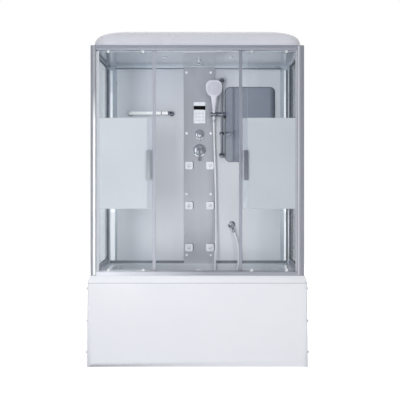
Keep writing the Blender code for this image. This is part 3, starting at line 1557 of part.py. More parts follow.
def wall_fittings():
    """Controller, mirror, towel rail, riser rail and the hose elbow."""
    height = (CONTROLLER_TOP_Z - CONTROLLER_BOTTOM_Z) / 2
    solid(
        "controller",
        lambda work: add_plate(
            work,
            CONTROLLER_HALF_WIDTH,
            height,
            CONTROLLER_CORNER,
            (COLUMN_X, CONTROLLER_BOTTOM_Z + height),
            COLUMN_FRONT_Y - GAP - CONTROLLER_DEPTH,
            COLUMN_FRONT_Y - GAP,
            edge=CONTROLLER_CORNER / 3,
        ),
        "white_plastic",
    )
    wall = BACK_WALL_Y - GAP
    solid(
        "mirror",
        lambda work: add_plate(
            work,
            (MIRROR_RIGHT_X - MIRROR_LEFT_X) / 2,
            (MIRROR_TOP_Z - MIRROR_BOTTOM_Z) / 2,
            MIRROR_CORNER,
            ((MIRROR_LEFT_X + MIRROR_RIGHT_X) / 2, (MIRROR_BOTTOM_Z + MIRROR_TOP_Z) / 2),
            wall - MIRROR_THICKNESS,
            wall,
            edge=MIRROR_THICKNESS / 5,
            steps=6,
        ),
        "mirror",
    )
    out = BACK_WALL_Y - TOWEL_REACH
    rail = tube(
        "towel_rail",
        rounded_path(
            [
                (TOWEL_LEFT_X, wall, TOWEL_Z),
                (TOWEL_LEFT_X, out, TOWEL_Z),
                (TOWEL_RIGHT_X, out, TOWEL_Z),
                (TOWEL_RIGHT_X, wall, TOWEL_Z),
            ],
            TOWEL_BEND,
        ),
        TOWEL_RADIUS,
        "chrome",
    )

    def flanges(work):
        for x in (TOWEL_LEFT_X, TOWEL_RIGHT_X):
            add_rod(work, (x, wall - TOWEL_FLANGE, TOWEL_Z), (x, wall, TOWEL_Z), TOWEL_FLANGE_RADIUS)

    unite(rail, solid("towel_flanges", flanges))

    riser = solid(
        "riser_rail",
        lambda work: add_rod(
            work,
            (RISER_X, RISER_Y, RISER_BOTTOM_Z),
            (RISER_X, RISER_Y, RISER_TOP_Z),
            RISER_RADIUS,
            sides=24,
        ),
        "chrome",
    )
    face = BACK_WALL_Y - RISER_Y + RISER_BRACKET_FRONT
    for number, z in enumerate((RISER_BOTTOM_Z, RISER_TOP_Z), 1):
        bracket = turned(
            f"riser_bracket_{number}",
            [
                (0.0, face),
                (RISER_BRACKET_RADIUS - RISER_BRACKET_EDGE, face),
                (RISER_BRACKET_RADIUS, face - RISER_BRACKET_EDGE),
                (RISER_BRACKET_RADIUS, GAP),
                (0.0, GAP),
            ],
            (RISER_X, BACK_WALL_Y, z),
            "front",
        )
        unite(riser, bracket)

    elbow = turned(
        "wall_elbow",
        [
            (0.0, ELBOW_REACH),
            (ELBOW_NECK_RADIUS, ELBOW_REACH),
            (ELBOW_NECK_RADIUS, 2 * ELBOW_FLANGE - ELBOW_FLANGE_EDGE),
            (ELBOW_FLANGE_RADIUS - ELBOW_FLANGE, ELBOW_FLANGE),
            (ELBOW_FLANGE_RADIUS, ELBOW_FLANGE_EDGE),
            (ELBOW_FLANGE_RADIUS, GAP),
            (0.0, GAP),
        ],
        (ELBOW_X, BACK_WALL_Y, ELBOW_Z),
        "front",
        "chrome",
    )
    ball = turned(
        "elbow_ball",
        arc_profile(ELBOW_BALL_RADIUS, 90, -90, 8),
        (ELBOW_X, BACK_WALL_Y - ELBOW_REACH, ELBOW_Z),
        "up",
        steps=20,
    )
    start, end = elbow_outlet()
    outlet = solid(
        "elbow_outlet", lambda work: add_rod(work, start, end, ELBOW_NUT_RADIUS, sides=16)
    )
    unite(elbow, ball, outlet)


def elbow_outlet():
    """Where the elbow's outlet starts and ends."""
    start = Vector((ELBOW_X, BACK_WALL_Y - ELBOW_REACH, ELBOW_Z))
    along = Vector((math.sin(ELBOW_OUTLET_TILT), 0.0, -math.cos(ELBOW_OUTLET_TILT)))
    return start, start + along * ELBOW_OUTLET


def holder():
    """The slider on the riser rail, the tilting cradle and the hand shower."""
    middle = Vector((0.0, RISER_Y, HOLDER_Z))
    slider_axis = pivot("holder_slider_axis", (RISER_X, RISER_Y, HOLDER_Z))
    left = HOLDER_SPLIT_X + GAP - RISER_X
    right = HOLDER_RIGHT_X - RISER_X

    slider = solid(
        "holder_slider",
        lambda work: add_rod(work, (left, 0.0, 0.0), (right, 0.0, 0.0), HOLDER_RADIUS, sides=24),
        "chrome",
        parent=slider_axis,
    )

    def knob(work):
        x = CLAMP_KNOB_X - RISER_X
        add_rod(
            work,
            (x, 0.0, -HOLDER_RADIUS + 2 * SINK),
            (x, 0.0, -HOLDER_RADIUS - CLAMP_KNOB_REACH),
            CLAMP_KNOB_RADIUS,
            sides=12,
        )

    def rail_bore(work):
        high = HOLDER_RADIUS + OVERRUN
        add_rod(work, (0.0, 0.0, -high), (0.0, 0.0, high), RISER_RADIUS + GAP, sides=24)

    def spigot_bore(work):
        add_rod(
            work,
            (left - OVERRUN, 0.0, 0.0),
            (left + SPIGOT_LENGTH, 0.0, 0.0),
            SPIGOT_RADIUS + GAP,
            sides=16,
        )

    unite(slider, solid("clamp_knob", knob, parent=slider_axis))
    cut(
        slider,
        solid("slider_bore", rail_bore, parent=slider_axis),
        solid("spigot_bore", spigot_bore, parent=slider_axis),
    )

    cradle_axis = pivot("holder_cradle_axis", (HANDSET_X, middle.y, middle.z))
    cradle_left = HOLDER_LEFT_X - HANDSET_X
    cradle_right = HOLDER_SPLIT_X - HANDSET_X
    cradle = solid(
        "holder_cradle",
        lambda work: add_rod(
            work, (cradle_left, 0.0, 0.0), (cradle_right, 0.0, 0.0), HOLDER_RADIUS, sides=24
        ),
        "chrome",
        parent=cradle_axis,
    )
    spigot = solid(
        "cradle_spigot",
        lambda work: add_rod(
            work,
            (cradle_right - SINK, 0.0, 0.0),
            (cradle_right + SPIGOT_LENGTH, 0.0, 0.0),
            SPIGOT_RADIUS,
            sides=16,
        ),
        parent=cradle_axis,
    )
    unite(cradle, spigot)

    grip_axis = pivot("hand_shower_axis", (0.0, 0.0, 0.0), cradle_axis, HANDSET_TILT)

    def socket(work):
        high = HOLDER_RADIUS + OVERRUN
        add_rod(work, (0.0, 0.0, -high), (0.0, 0.0, high), HANDSET_GRIP_RADIUS + GAP, sides=24)

    cut(cradle, solid("cradle_socket", socket, parent=grip_axis))

    def grip(work):
        neck_high = HANDSET_HEAD_RISE - HANDSET_HEAD_HALF_HEIGHT
        neck_low = (HANDSET_GRIP_TOP + neck_high) / 2
        thin = HANDSET_GRIP_RADIUS
        rows = [
            ring(thin, thin, thin, -HANDSET_END),
            ring(thin, thin, thin, HANDSET_GRIP_TOP),
            ring(
                (thin + HANDSET_NECK_HALF_WIDTH) / 2,
                thin,
                thin * HANDSET_NECK_CORNER_SHARE,
                neck_low,
            ),
            ring(
                HANDSET_NECK_HALF_WIDTH,
                HANDSET_NECK_HALF_DEPTH,
                HANDSET_NECK_HALF_DEPTH * HANDSET_NECK_CORNER_SHARE,
                neck_high,
            ),
            ring(
                HANDSET_NECK_HALF_WIDTH,
                HANDSET_NECK_HALF_DEPTH - 2 * SINK,
                (HANDSET_NECK_HALF_DEPTH - 2 * SINK) * HANDSET_NECK_CORNER_SHARE,
                neck_high + HANDSET_HEAD_CORNER,
            ),
        ]
        add_loft(work, rows, cap_first=True, cap_last=True)

    def head(work):
        half = HANDSET_HEAD_THICKNESS / 2
        rows = []
        for y, inset in (
            (half, HANDSET_HEAD_EDGE * 2),
            (half - HANDSET_HEAD_EDGE, HANDSET_HEAD_EDGE / 2),
            (0.0, 0.0),
            (HANDSET_HEAD_EDGE - half, 0.0),
            (-half, HANDSET_HEAD_EDGE),
        ):
            row = ring(
                HANDSET_HEAD_HALF_WIDTH - inset,
                HANDSET_HEAD_HALF_HEIGHT - inset,
                HANDSET_HEAD_CORNER - inset,
                0.0,
            )
            rows.append([Vector((p.x, y, HANDSET_HEAD_RISE + p.y)) for p in row])
        add_loft(work, rows, cap_first=True, cap_last=True)

    handset = solid("hand_shower", grip, "white_plastic", parent=grip_axis)
    unite(handset, solid("hand_shower_head", head, parent=grip_axis))


def soap_dish():
    """A shallow round dish on a ring that grips the riser rail."""
    high = DISH_HEIGHT / 2
    dish = turned(
        "soap_dish",
        [
            (DISH_RADIUS - DISH_WALL, high),
            (DISH_RADIUS, high),
            (DISH_FOOT_RADIUS, -high),
            (0.0, -high),
            (0.0, DISH_WALL - high),
            (DISH_FOOT_RADIUS, DISH_WALL - high),
        ],
        (DISH_X, RISER_Y, DISH_Z),
        "up",
        "chrome",
        hollow=True,
        steps=24,
    )
    ring_top = DISH_RING_HEIGHT / 2

    def clamp(work):
        add_rod(
            work,
            (RISER_X, RISER_Y, DISH_Z - ring_top),
            (RISER_X, RISER_Y, DISH_Z + ring_top),
            DISH_RING_RADIUS,
        )

    def bore(work):
        add_rod(
            work,
            (RISER_X, RISER_Y, DISH_Z - ring_top - OVERRUN),
            (RISER_X, RISER_Y, DISH_Z + ring_top + OVERRUN),
            RISER_RADIUS + GAP,
            sides=24,
        )

    unite(dish, solid("dish_clamp", clamp))
    cut(dish, solid("dish_bore", bore))


def carrier_outline(x, base_z, tip_z):
    """A carrier plate: broad at the rail and narrow at its tip."""
    return [
        (x - CARRIER_HALF_WIDTH, base_z),
        (x - CARRIER_TIP_HALF_WIDTH, tip_z),
        (x + CARRIER_TIP_HALF_WIDTH, tip_z),
        (x + CARRIER_HALF_WIDTH, base_z),
    ]


def door(name, side):
    """One sliding door: glass with its carriers, edge profile and handle."""
    axis = pivot(f"door_{name}_axis", (0.0, DOOR_Y, 0.0))
    half = DOOR_GLASS / 2
    slot_x = DOOR_EDGE_X + DOOR_PROFILE_BACK
    xs = sorted((side * (slot_x + GAP), side * DOOR_TAIL_X))
    glass = solid(
        f"door_glass_{name}",
        lambda work: add_box(work, (xs[0], -half, DOOR_BOTTOM_Z), (xs[1], half, DOOR_TOP_Z)),
        "clear_glass",
        parent=axis,
    )
    plate_back = half + CARRIER_PLATE
    wheel_z = BEAD_TOP_Z + GAP + WHEEL_GROOVE_RADIUS
    wheel_y = BEAD_Y - DOOR_Y
    pin_end = wheel_y + WHEEL_WIDTH / 2 + GAP
    for number, carrier_x in enumerate(CARRIER_X, 1):
        x = side * carrier_x
        for where, base_z, tip_z in (
            ("top", CARRIER_TOP_Z, CARRIER_TIP_Z),
            ("bottom", GUIDE_BOTTOM_Z, GUIDE_TIP_Z),
        ):
            plate = bar(
                f"door_{name}_{where}_plate_{number}",
                carrier_outline(x, base_z, tip_z),
                "XZ",
                half - SINK,
                plate_back,
                parent=axis,
            )
            unite(glass, plate)

    def bolts(work):
        for carrier_x in CARRIER_X:
            x = side * carrier_x
            add_rod(work, (x, -half - BOLT_HEAD, BOLT_Z), (x, half, BOLT_Z), BOLT_RADIUS, sides=12)
            add_rod(
                work,
                (x, plate_back - 2 * SINK, wheel_z),
                (x, pin_end + SINK / 2, wheel_z),
                WHEEL_PIN_RADIUS,
                sides=12,
            )

    def pin_heads(work):
        for carrier_x in CARRIER_X:
            x = side * carrier_x
            add_rod(
                work,
                (x, pin_end, wheel_z),
                (x, pin_end + WHEEL_PIN_HEAD, wheel_z),
                WHEEL_PIN_HEAD_RADIUS,
                sides=12,
            )
            add_box(
                work,
                (x - CARRIER_TIP_HALF_WIDTH, plate_back - SINK, GUIDE_BOTTOM_Z + SINK / 2),
                (x + CARRIER_TIP_HALF_WIDTH, wheel_y + GUIDE_FOOT_DEPTH / 2, GUIDE_FOOT_TOP_Z),
            )

    def guide_slots(work):
        wide = BEAD_WIDTH / 2 + GUIDE_SLOT_CLEARANCE
        for carrier_x in CARRIER_X:
            x = side * carrier_x
            add_box(
                work,
                (x - CARRIER_HALF_WIDTH, wheel_y - wide, GUIDE_BOTTOM_Z - OVERRUN),
                (x + CARRIER_HALF_WIDTH, wheel_y + wide, GUIDE_BEAD_TOP_Z + GAP),
            )

    unite(
        glass,
        solid(f"door_{name}_bolts", bolts, parent=axis),
        solid(f"door_{name}_pin_heads", pin_heads, parent=axis),
    )
    cut(glass, solid(f"door_{name}_guide_slots", guide_slots, parent=axis))

    deep = DOOR_PROFILE_DEPTH / 2
    outer = DOOR_EDGE_X + DOOR_PROFILE_WIDTH
    slot = half + GAP
    section = [
        (DOOR_EDGE_X, -deep),
        (outer, -deep),
        (outer, -slot),
        (slot_x, -slot),
        (slot_x, slot),
        (outer, slot),
        (outer, deep),
        (DOOR_EDGE_X, deep),
    ]
    bar(
        f"door_profile_{name}",
        [(side * x, y) for x, y in section],
        "XY",
        DOOR_PROFILE_BOTTOM_Z,
        DOOR_PROFILE_TOP_Z,
        "aluminium",
        parent=axis,
    )

    front = HANDLE_FRONT_Y - DOOR_Y
    handle_xs = sorted((side * (HANDLE_X - HANDLE_WIDTH / 2), side * (HANDLE_X + HANDLE_WIDTH / 2)))
    handle = solid(
        f"door_handle_{name}",
        lambda work: add_box(
            work,
            (handle_xs[0], front, HANDLE_BOTTOM_Z),
            (handle_xs[1], front + HANDLE_THICKNESS, HANDLE_TOP_Z),
            bevel=HANDLE_EDGE,
        ),
        "chrome",
        parent=axis,
    )

    def posts(work):
        x = side * HANDLE_POST_X
        for z in (HANDLE_BOTTOM_Z + HANDLE_POST_INSET, HANDLE_TOP_Z - HANDLE_POST_INSET):
            add_rod(
                work,
                (x, front + HANDLE_THICKNESS - HANDLE_EDGE, z),
                (x, -half - GAP, z),
                HANDLE_POST_RADIUS,
                sides=14,
            )

    unite(handle, solid(f"door_{name}_handle_posts", posts, parent=axis))

    wheel = [
        (WHEEL_RADIUS, WHEEL_WIDTH / 2),
        (WHEEL_RADIUS, WHEEL_GROOVE_MOUTH),
        (WHEEL_GROOVE_RADIUS, WHEEL_GROOVE_HALF_WIDTH),
        (WHEEL_GROOVE_RADIUS, -WHEEL_GROOVE_HALF_WIDTH),
        (WHEEL_RADIUS, -WHEEL_GROOVE_MOUTH),
        (WHEEL_RADIUS, -WHEEL_WIDTH / 2),
        (WHEEL_PIN_RADIUS + GAP, -WHEEL_WIDTH / 2),
        (WHEEL_PIN_RADIUS + GAP, WHEEL_WIDTH / 2),
    ]
    for where, carrier_x in zip(("inner", "outer"), CARRIER_X):
        turned(
            f"door_wheel_{name}_{where}",
            wheel,
            (side * carrier_x, BEAD_Y, wheel_z),
            "front",
            "white_plastic",
            steps=12,
            hollow=True,
        )


def smooth_route(points, spacing):
    """A smooth curve through the points, read at equal steps along it."""
    points = [Vector(point) for point in points]
    ends = [points[0] * 2 - points[1], *points, points[-1] * 2 - points[-2]]
    fine = [points[0]]
    for a, b, c, d in zip(ends, ends[1:], ends[2:], ends[3:]):
        for step in range(1, 13):
            t = step / 12
            square = (2 * a - 5 * b + 4 * c - d) * t**2
            cube = (3 * b - a - 3 * c + d) * t**3
            fine.append((2 * b + (c - a) * t + square + cube) / 2)
    lengths = [0.0]
    for a, b in zip(fine, fine[1:]):
        lengths.append(lengths[-1] + (b - a).length)
    count = max(2, round(lengths[-1] / spacing))
    even = []
    for step in range(count + 1):
        want = lengths[-1] * step / count
        i = next(k for k in range(1, len(fine)) if lengths[k] >= want - GAP)
        share = (want - lengths[i - 1]) / (lengths[i] - lengths[i - 1])
        even.append(fine[i - 1].lerp(fine[i], min(max(share, 0.0), 1.0)))
    return even


def hose():
    """The hose in two lengths that meet end to end below the holder."""
    grip = Vector((0.0, math.sin(HANDSET_TILT), -math.cos(HANDSET_TILT)))
    top = Vector((HANDSET_X, RISER_Y, HOLDER_Z)) + grip * (HANDSET_END + GAP)
    start, end = elbow_outlet()
    along = (end - start).normalized()
    bottom = end + along * GAP
    lead = 2 * HOSE_RADIUS
    upper = [p for p in HOSE_ROUTE if p[2] > HOSE_SEAM_Z]
    seam = next(p for p in HOSE_ROUTE if p[2] == HOSE_SEAM_Z)
    lower = HOSE_ROUTE[HOSE_ROUTE.index(seam) + 1 :]
    spacing = HOSE_SPACING * 2 * HOSE_RADIUS
    half_gap = Vector((0.0, 0.0, GAP / 2))
    seam = Vector(seam)
    square = Vector((0.0, 0.0, lead))
    first = smooth_route([top, top + grip * lead, *upper, seam + square], spacing)
    tube("hose_upper", [*first, seam + half_gap], HOSE_RADIUS, "chrome")
    second = smooth_route([seam - square, *lower, bottom + along * lead], spacing)
    tube("hose_lower", [seam - half_gap, *second, bottom], HOSE_RADIUS, "chrome")


tray()
drain_and_overflow_covers()
apron()
support_frame()
waste_trap()
front_frame()
fixed_glass()
side_frame()
rear_frame()
roof()
column()
valves()
wall_fittings()
holder()
soap_dish()
for door_name, door_side in SIDES.items():
    door(door_name, door_side)
hose()
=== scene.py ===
import math

import bmesh
import bpy
from mathutils import Matrix, Vector


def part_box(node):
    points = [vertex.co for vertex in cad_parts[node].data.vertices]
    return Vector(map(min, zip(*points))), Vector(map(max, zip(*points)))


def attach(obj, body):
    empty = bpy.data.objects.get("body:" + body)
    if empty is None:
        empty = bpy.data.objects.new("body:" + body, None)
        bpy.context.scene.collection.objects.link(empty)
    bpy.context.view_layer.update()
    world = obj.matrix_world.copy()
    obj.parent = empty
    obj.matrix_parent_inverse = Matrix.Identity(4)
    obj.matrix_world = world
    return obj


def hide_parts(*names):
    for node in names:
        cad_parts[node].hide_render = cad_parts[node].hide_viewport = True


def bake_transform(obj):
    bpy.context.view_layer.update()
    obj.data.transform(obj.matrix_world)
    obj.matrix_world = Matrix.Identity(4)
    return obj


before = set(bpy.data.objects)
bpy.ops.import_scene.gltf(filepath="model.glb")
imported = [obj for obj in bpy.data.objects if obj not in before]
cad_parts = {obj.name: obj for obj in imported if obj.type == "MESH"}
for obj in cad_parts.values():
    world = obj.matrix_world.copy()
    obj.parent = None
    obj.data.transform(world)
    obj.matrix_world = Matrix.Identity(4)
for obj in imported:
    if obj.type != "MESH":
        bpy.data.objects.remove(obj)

scene = bpy.context.scene
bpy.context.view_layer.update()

# Camera
# A level camera a little under 6 m in front of the cabin and 1.29 m above the floor. Its
# shift keeps the uprights upright, as in the photograph.
PICTURE_PIXELS = 400
FOCAL_PIXELS = 814
VANISHING_U, VANISHING_V = 208, 175
CAMERA_PLACE = (0.0723, -5.905, 1.2933)
SENSOR_WIDTH = 36.0

eye = bpy.data.cameras.new("camera")
eye.sensor_width = SENSOR_WIDTH
eye.lens = FOCAL_PIXELS / PICTURE_PIXELS * SENSOR_WIDTH
eye.shift_x = (PICTURE_PIXELS / 2 - VANISHING_U) / PICTURE_PIXELS
eye.shift_y = (VANISHING_V - PICTURE_PIXELS / 2) / PICTURE_PIXELS
camera = bpy.data.objects.new("camera", eye)
camera.location = CAMERA_PLACE
camera.rotation_euler = (math.pi / 2, 0.0, 0.0)
scene.collection.objects.link(camera)
scene.camera = camera


# Studio
# A pale floor without an edge, a white room and soft boxes that aren't reflected. Metal and
# glass show the room instead, which is darker behind the camera. One lamp lights only the
# bright bars of the rear posts, and one shows only in the knobs and the elbow.
FLOOR_HALF = 40.0
FLOOR_COLOUR = (0.80, 0.80, 0.80, 1.0)
FLOOR_LIFT = 0.78
ROOM_FILL = 0.30
ROOM_WHITE = (1.0, 1.0, 1.0, 1.0)
ROOM_DARK = (0.24, 0.25, 0.285, 1.0)
ROOM_DARK_FROM = 0.25  # share of a direction that points at the room behind the camera
ROOM_DARK_FULL = 0.85
CABIN_MIDDLE = (0.0, 0.0, 1.2)


def add_node(tree, kind, inputs=None, **settings):
    """A node with its settings made, and its inputs set or joined to other sockets."""
    node = tree.nodes.new(kind)
    for key, value in settings.items():
        setattr(node, key, value)
    for key, value in (inputs or {}).items():
        if isinstance(value, bpy.types.NodeSocket):
            tree.links.new(value, node.inputs[key])
        else:
            node.inputs[key].default_value = value
    return node


def add_sum(tree, operation, *values):
    """The result of one Math node."""
    return add_node(
        tree, "ShaderNodeMath", dict(enumerate(values)), operation=operation
    ).outputs[0]


def ramp(tree, value, start, end, **settings):
    """How far a value has come from start to end, from 0 to 1."""
    inputs = {"Value": value, "From Min": start, "From Max": end}
    return add_node(tree, "ShaderNodeMapRange", inputs, **settings).outputs["Result"]


def mix_colours(tree, share, first, second):
    """Two colours mixed by a share."""
    inputs = {0: share, 6: first, 7: second}
    return add_node(tree, "ShaderNodeMix", inputs, data_type="RGBA").outputs[2]


def mix_shaders(tree, share, first, second):
    """Two shaders mixed by a share."""
    return add_node(tree, "ShaderNodeMixShader", {0: share, 1: first, 2: second}).outputs[0]


def watch_rays(tree):
    """What a ray is, and whether it shows something straight or through glass."""
    ray = add_node(tree, "ShaderNodeLightPath").outputs
    return ray, add_sum(tree, "MAXIMUM", ray["Is Camera Ray"], ray["Is Transmission Ray"])


scene.view_settings.view_transform = "Standard"

room = bpy.data.worlds.new("room")
room.use_nodes = True
room.cycles.sampling_method = "NONE"
scene.world = room
tree = room.node_tree
tree.nodes.clear()
ray, seen = watch_rays(tree)
away = add_node(tree, "ShaderNodeTexCoord").outputs["Generated"]
forward = add_node(tree, "ShaderNodeSeparateXYZ", {0: away}).outputs["Y"]
backward = add_sum(tree, "MULTIPLY", forward, -1.0)
behind = ramp(
    tree, backward, ROOM_DARK_FROM, ROOM_DARK_FULL, interpolation_type="SMOOTHSTEP"
)
gloss = mix_colours(tree, behind, ROOM_WHITE, ROOM_DARK)
fill, shine, white = (
    add_node(tree, "ShaderNodeBackground", {"Color": colour, "Strength": strength}).outputs[0]
    for colour, strength in ((ROOM_WHITE, ROOM_FILL), (gloss, 1.0), (ROOM_WHITE, 1.0))
)
lit = mix_shaders(tree, ray["Is Glossy Ray"], fill, shine)
add_node(tree, "ShaderNodeOutputWorld", {"Surface": mix_shaders(tree, seen, lit, white)})

floor_finish = bpy.data.materials.new("floor")
floor_finish.use_nodes = True
tree = floor_finish.node_tree
tree.nodes.clear()
ray, seen = watch_rays(tree)
seen = add_sum(tree, "MAXIMUM", seen, ray["Is Glossy Ray"])
matt = add_node(tree, "ShaderNodeBsdfDiffuse", {"Color": FLOOR_COLOUR})
lift = add_sum(tree, "MULTIPLY", seen, FLOOR_LIFT)
glow = add_node(tree, "ShaderNodeEmission", {"Color": ROOM_WHITE, "Strength": lift})
whole = add_node(tree, "ShaderNodeAddShader", {0: matt.outputs[0], 1: glow.outputs[0]})
add_node(tree, "ShaderNodeOutputMaterial", {"Surface": whole.outputs[0]})

floor_mesh = bpy.data.meshes.new("floor")
floor_work = bmesh.new()
bmesh.ops.create_grid(floor_work, x_segments=1, y_segments=1, size=FLOOR_HALF)
floor_work.to_mesh(floor_mesh)
floor_work.free()
floor_mesh.materials.append(floor_finish)
floor = bpy.data.objects.new("floor", floor_mesh)
scene.collection.objects.link(floor)


def soft_box(name, place, aim, width, height, watts, mirrored=False, linked=False):
    """A rectangular lamp turned to face its aim, that either lights or is only reflected.

    A linked lamp reaches only the pieces in the collection that comes back.
    """
    lamp = bpy.data.lights.new(name, "AREA")
    lamp.shape = "RECTANGLE"
    lamp.size, lamp.size_y = width, height
    lamp.energy = watts
    holder = bpy.data.objects.new(name, lamp)
    holder.location = place
    holder.rotation_euler = (Vector(place) - Vector(aim)).to_track_quat("Z", "Y").to_euler()
    holder.visible_camera = holder.visible_transmission = False
    holder.visible_diffuse = not mirrored
    holder.visible_glossy = mirrored
    scene.collection.objects.link(holder)
    if linked:
        reached = bpy.data.collections.new(f"{name}_pieces")
        holder.light_linking.receiver_collection = reached
        return reached


soft_box("key_light", (-1.65, -5.9, 1.30), CABIN_MIDDLE, 1.4, 2.6, 168.0)
soft_box("fill_light", (2.2, -5.6, 1.9), CABIN_MIDDLE, 2.0, 1.8, 62.0)
soft_box("rear_light", (0.5, 4.5, 3.6), CABIN_MIDDLE, 2.6, 2.0, 110.0)
soft_box("top_light", (0.0, 0.3, 5.2), (0.0, 0.0, 2.2), 3.0, 2.4, 36.0)
soft_box("cabin_light", (0.0, -0.31, 1.40), (0.0, 1.0, 1.40), 1.2, 1.0, 2.2)
bar_lit = soft_box(
    "bar_light", (0.0, -0.31, 1.12), (0.0, 1.0, 1.12), 1.2, 1.1, 10.5, linked=True
)
knob_lit = soft_box(
    "knob_light", (-0.62, 0.0, 1.50), (0.007, 0.35, 1.50), 0.5, 0.7, 1.7, mirrored=True, linked=True
)


# Hose
# A 2 m shower hose: an inner tube inside a wound strip of chromed metal, whose edges lock
# into narrow ribs. A tapered nut holds it at the hand shower and another at the elbow.
# It is made in two lengths, an upper one from the hand shower and a lower one from the elbow.
HOSE_RADIUS = 0.007
HOSE_RIB_PITCH = 0.0042
HOSE_RIB_DEPTH = 0.0007
HOSE_RIB_STEPS = 4
HOSE_SIDES = 12
HOSE_LEAD = 0.014
HOSE_SEAM_GAP = 0.0003
HOSE_SEAM = (0.1200, 0.3425, 1.560)
HOSE_TOP = (0.1175, 0.3295, 1.7199)
HOSE_TOP_TILT = math.radians(14.4)
HOSE_BOTTOM = (0.2662, 0.34, 0.8747)
HOSE_BOTTOM_TILT = math.radians(18.5)
HOSE_UPPER_POINTS = ((0.1178, 0.3390, 1.670), (0.1188, 0.3420, 1.610))
HOSE_LOWER_POINTS = (
    (0.1235, 0.3425, 1.440), (0.1280, 0.3415, 1.300), (0.1318, 0.3390, 1.140),
    (0.1330, 0.3340, 0.980), (0.1330, 0.3230, 0.850), (0.1305, 0.3040, 0.740),
    (0.1265, 0.2850, 0.650), (0.1265, 0.2720, 0.575), (0.1310, 0.2620, 0.490),
    (0.1370, 0.2555, 0.420), (0.1575, 0.2515, 0.369), (0.2090, 0.2500, 0.347),
    (0.2605, 0.2515, 0.368), (0.2820, 0.2565, 0.418), (0.2880, 0.2640, 0.495),
    (0.2940, 0.2760, 0.575), (0.3045, 0.2890, 0.645), (0.3070, 0.3060, 0.710),
    (0.2995, 0.3240, 0.762), (0.2850, 0.3360, 0.820),
)
HOSE_NUT_LENGTH = 0.024
HOSE_NUT_RADIUS = 0.0102
HOSE_NUT_MOUTH = 0.0082
HOSE_NUT_EDGE = 0.0006
HOSE_NUT_SIDES = 32
CURVE_STEPS = 40
EVEN = (1.0, 1.0, 1.0)
NOISE_LOW, NOISE_HIGH = 0.3, 0.7  # between these lies nearly all that the noise node gives
BUMP_DEPTH = 0.0004


def screen(red, green, blue):
    """A colour given as it looks on a screen, from 0 to 255, as the shaders take it."""
    return (*(((value / 255 + 0.055) / 1.055) ** 2.4 for value in (red, green, blue)), 1.0)


def new_material(name):
    """An empty material, its node tree and its Principled shader."""
    made = bpy.data.materials.new(name)
    made.use_nodes = True
    return made, made.node_tree, made.node_tree.nodes["Principled BSDF"]


def noise(tree, scale, low, high, stretch=EVEN, detail=3.0):
    """Noise over the piece's own coordinates, as a number from low to high."""
    place = add_node(tree, "ShaderNodeTexCoord").outputs["Object"]
    turned = add_node(tree, "ShaderNodeMapping", {"Vector": place, "Scale": stretch}).outputs[0]
    cloud = {"Vector": turned, "Scale": scale, "Detail": detail}
    cloud = add_node(tree, "ShaderNodeTexNoise", cloud).outputs["Fac"]
    span = {"Value": cloud, "From Min": NOISE_LOW, "From Max": NOISE_HIGH}
    span |= {"To Min": low, "To Max": high}
    return add_node(tree, "ShaderNodeMapRange", span).outputs["Result"]


def coordinate(tree, axis):
    """One of the piece's own coordinates."""
    place = add_node(tree, "ShaderNodeTexCoord").outputs["Object"]
    return add_node(tree, "ShaderNodeSeparateXYZ", {0: place}).outputs[axis]


def finish(
    name, tones, rough, metallic=0.0, scale=6.0, stretch=EVEN, bump=0.0, bump_scale=300.0,
    coat=0.0, specular=0.5, fades=(),
):
    """A finish whose colour and roughness drift between two values, with fine relief.

    A fade is an axis, where on it another colour begins and is reached, and that colour.
    """
    made, tree, shader = new_material(name)
    drift = noise(tree, scale, 0.0, 1.0, stretch)
    colour = mix_colours(tree, drift, screen(*tones[0]), screen(*tones[1]))
    for axis, start, end, far in fades:
        share = ramp(tree, coordinate(tree, axis), start, end)
        colour = mix_colours(tree, share, colour, screen(*far))
    tree.links.new(colour, shader.inputs["Base Color"])
    tree.links.new(noise(tree, scale * 3, *rough, stretch), shader.inputs["Roughness"])
    shader.inputs["Metallic"].default_value = metallic
    shader.inputs["Coat Weight"].default_value = coat
    shader.inputs["Specular IOR Level"].default_value = specular
    if bump:
        height = noise(tree, bump_scale, 0.0, 1.0, stretch, 2.0)
        relief = {"Height": height, "Strength": bump, "Distance": BUMP_DEPTH}
        relief = add_node(tree, "ShaderNodeBump", relief)
        tree.links.new(relief.outputs[0], shader.inputs["Normal"])
    return made


def side_finishes(name, left, right, *settings, **more):
    """A finish for each side, which gives its two tones and then its fades."""
    return {
        side: finish(f"{name}_{side}", looks[:2], *settings, fades=looks[2:], **more)
        for side, looks in (("left", left), ("right", right))
    }


def add_piece(name, work, material, body="cabin", replaces=(), sharp=35.0):
    """Makes the finished object of a mesh and lets it ride on its body."""
    mesh = bpy.data.meshes.new(name)
    work.to_mesh(mesh)
    work.free()
    mesh.shade_smooth()
    mesh.set_sharp_from_angle(angle=math.radians(sharp))
    mesh.materials.append(material)
    piece = bpy.data.objects.new(name, mesh)
    scene.collection.objects.link(piece)
    if body:
        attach(piece, body)
    if replaces:
        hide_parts(*replaces)
    return piece


def add_loft(work, rows):
    """Faces between rows of equally many points, with a flat cap at each end."""
    rows = [[work.verts.new(point) for point in row] for row in rows]
    count = len(rows[0])
    for row, following in zip(rows, rows[1:]):
        for i in range(count):
            j = (i + 1) % count
            work.faces.new((row[i], row[j], following[j], following[i]))
    work.faces.new(list(reversed(rows[0])))
    work.faces.new(rows[-1])


def add_block(work, low, high, edge):
    """A block between two corners, with its edges rounded."""
    made = bmesh.ops.create_cube(work, size=1.0)["verts"]
    low, high = Vector(low), Vector(high)
    middle, size = (low + high) / 2, high - low
    for vertex in made:
        vertex.co = Vector(a * b for a, b in zip(vertex.co, size)) + middle
    round_edges(work, list({e for v in made for e in v.link_edges}), edge, 3)


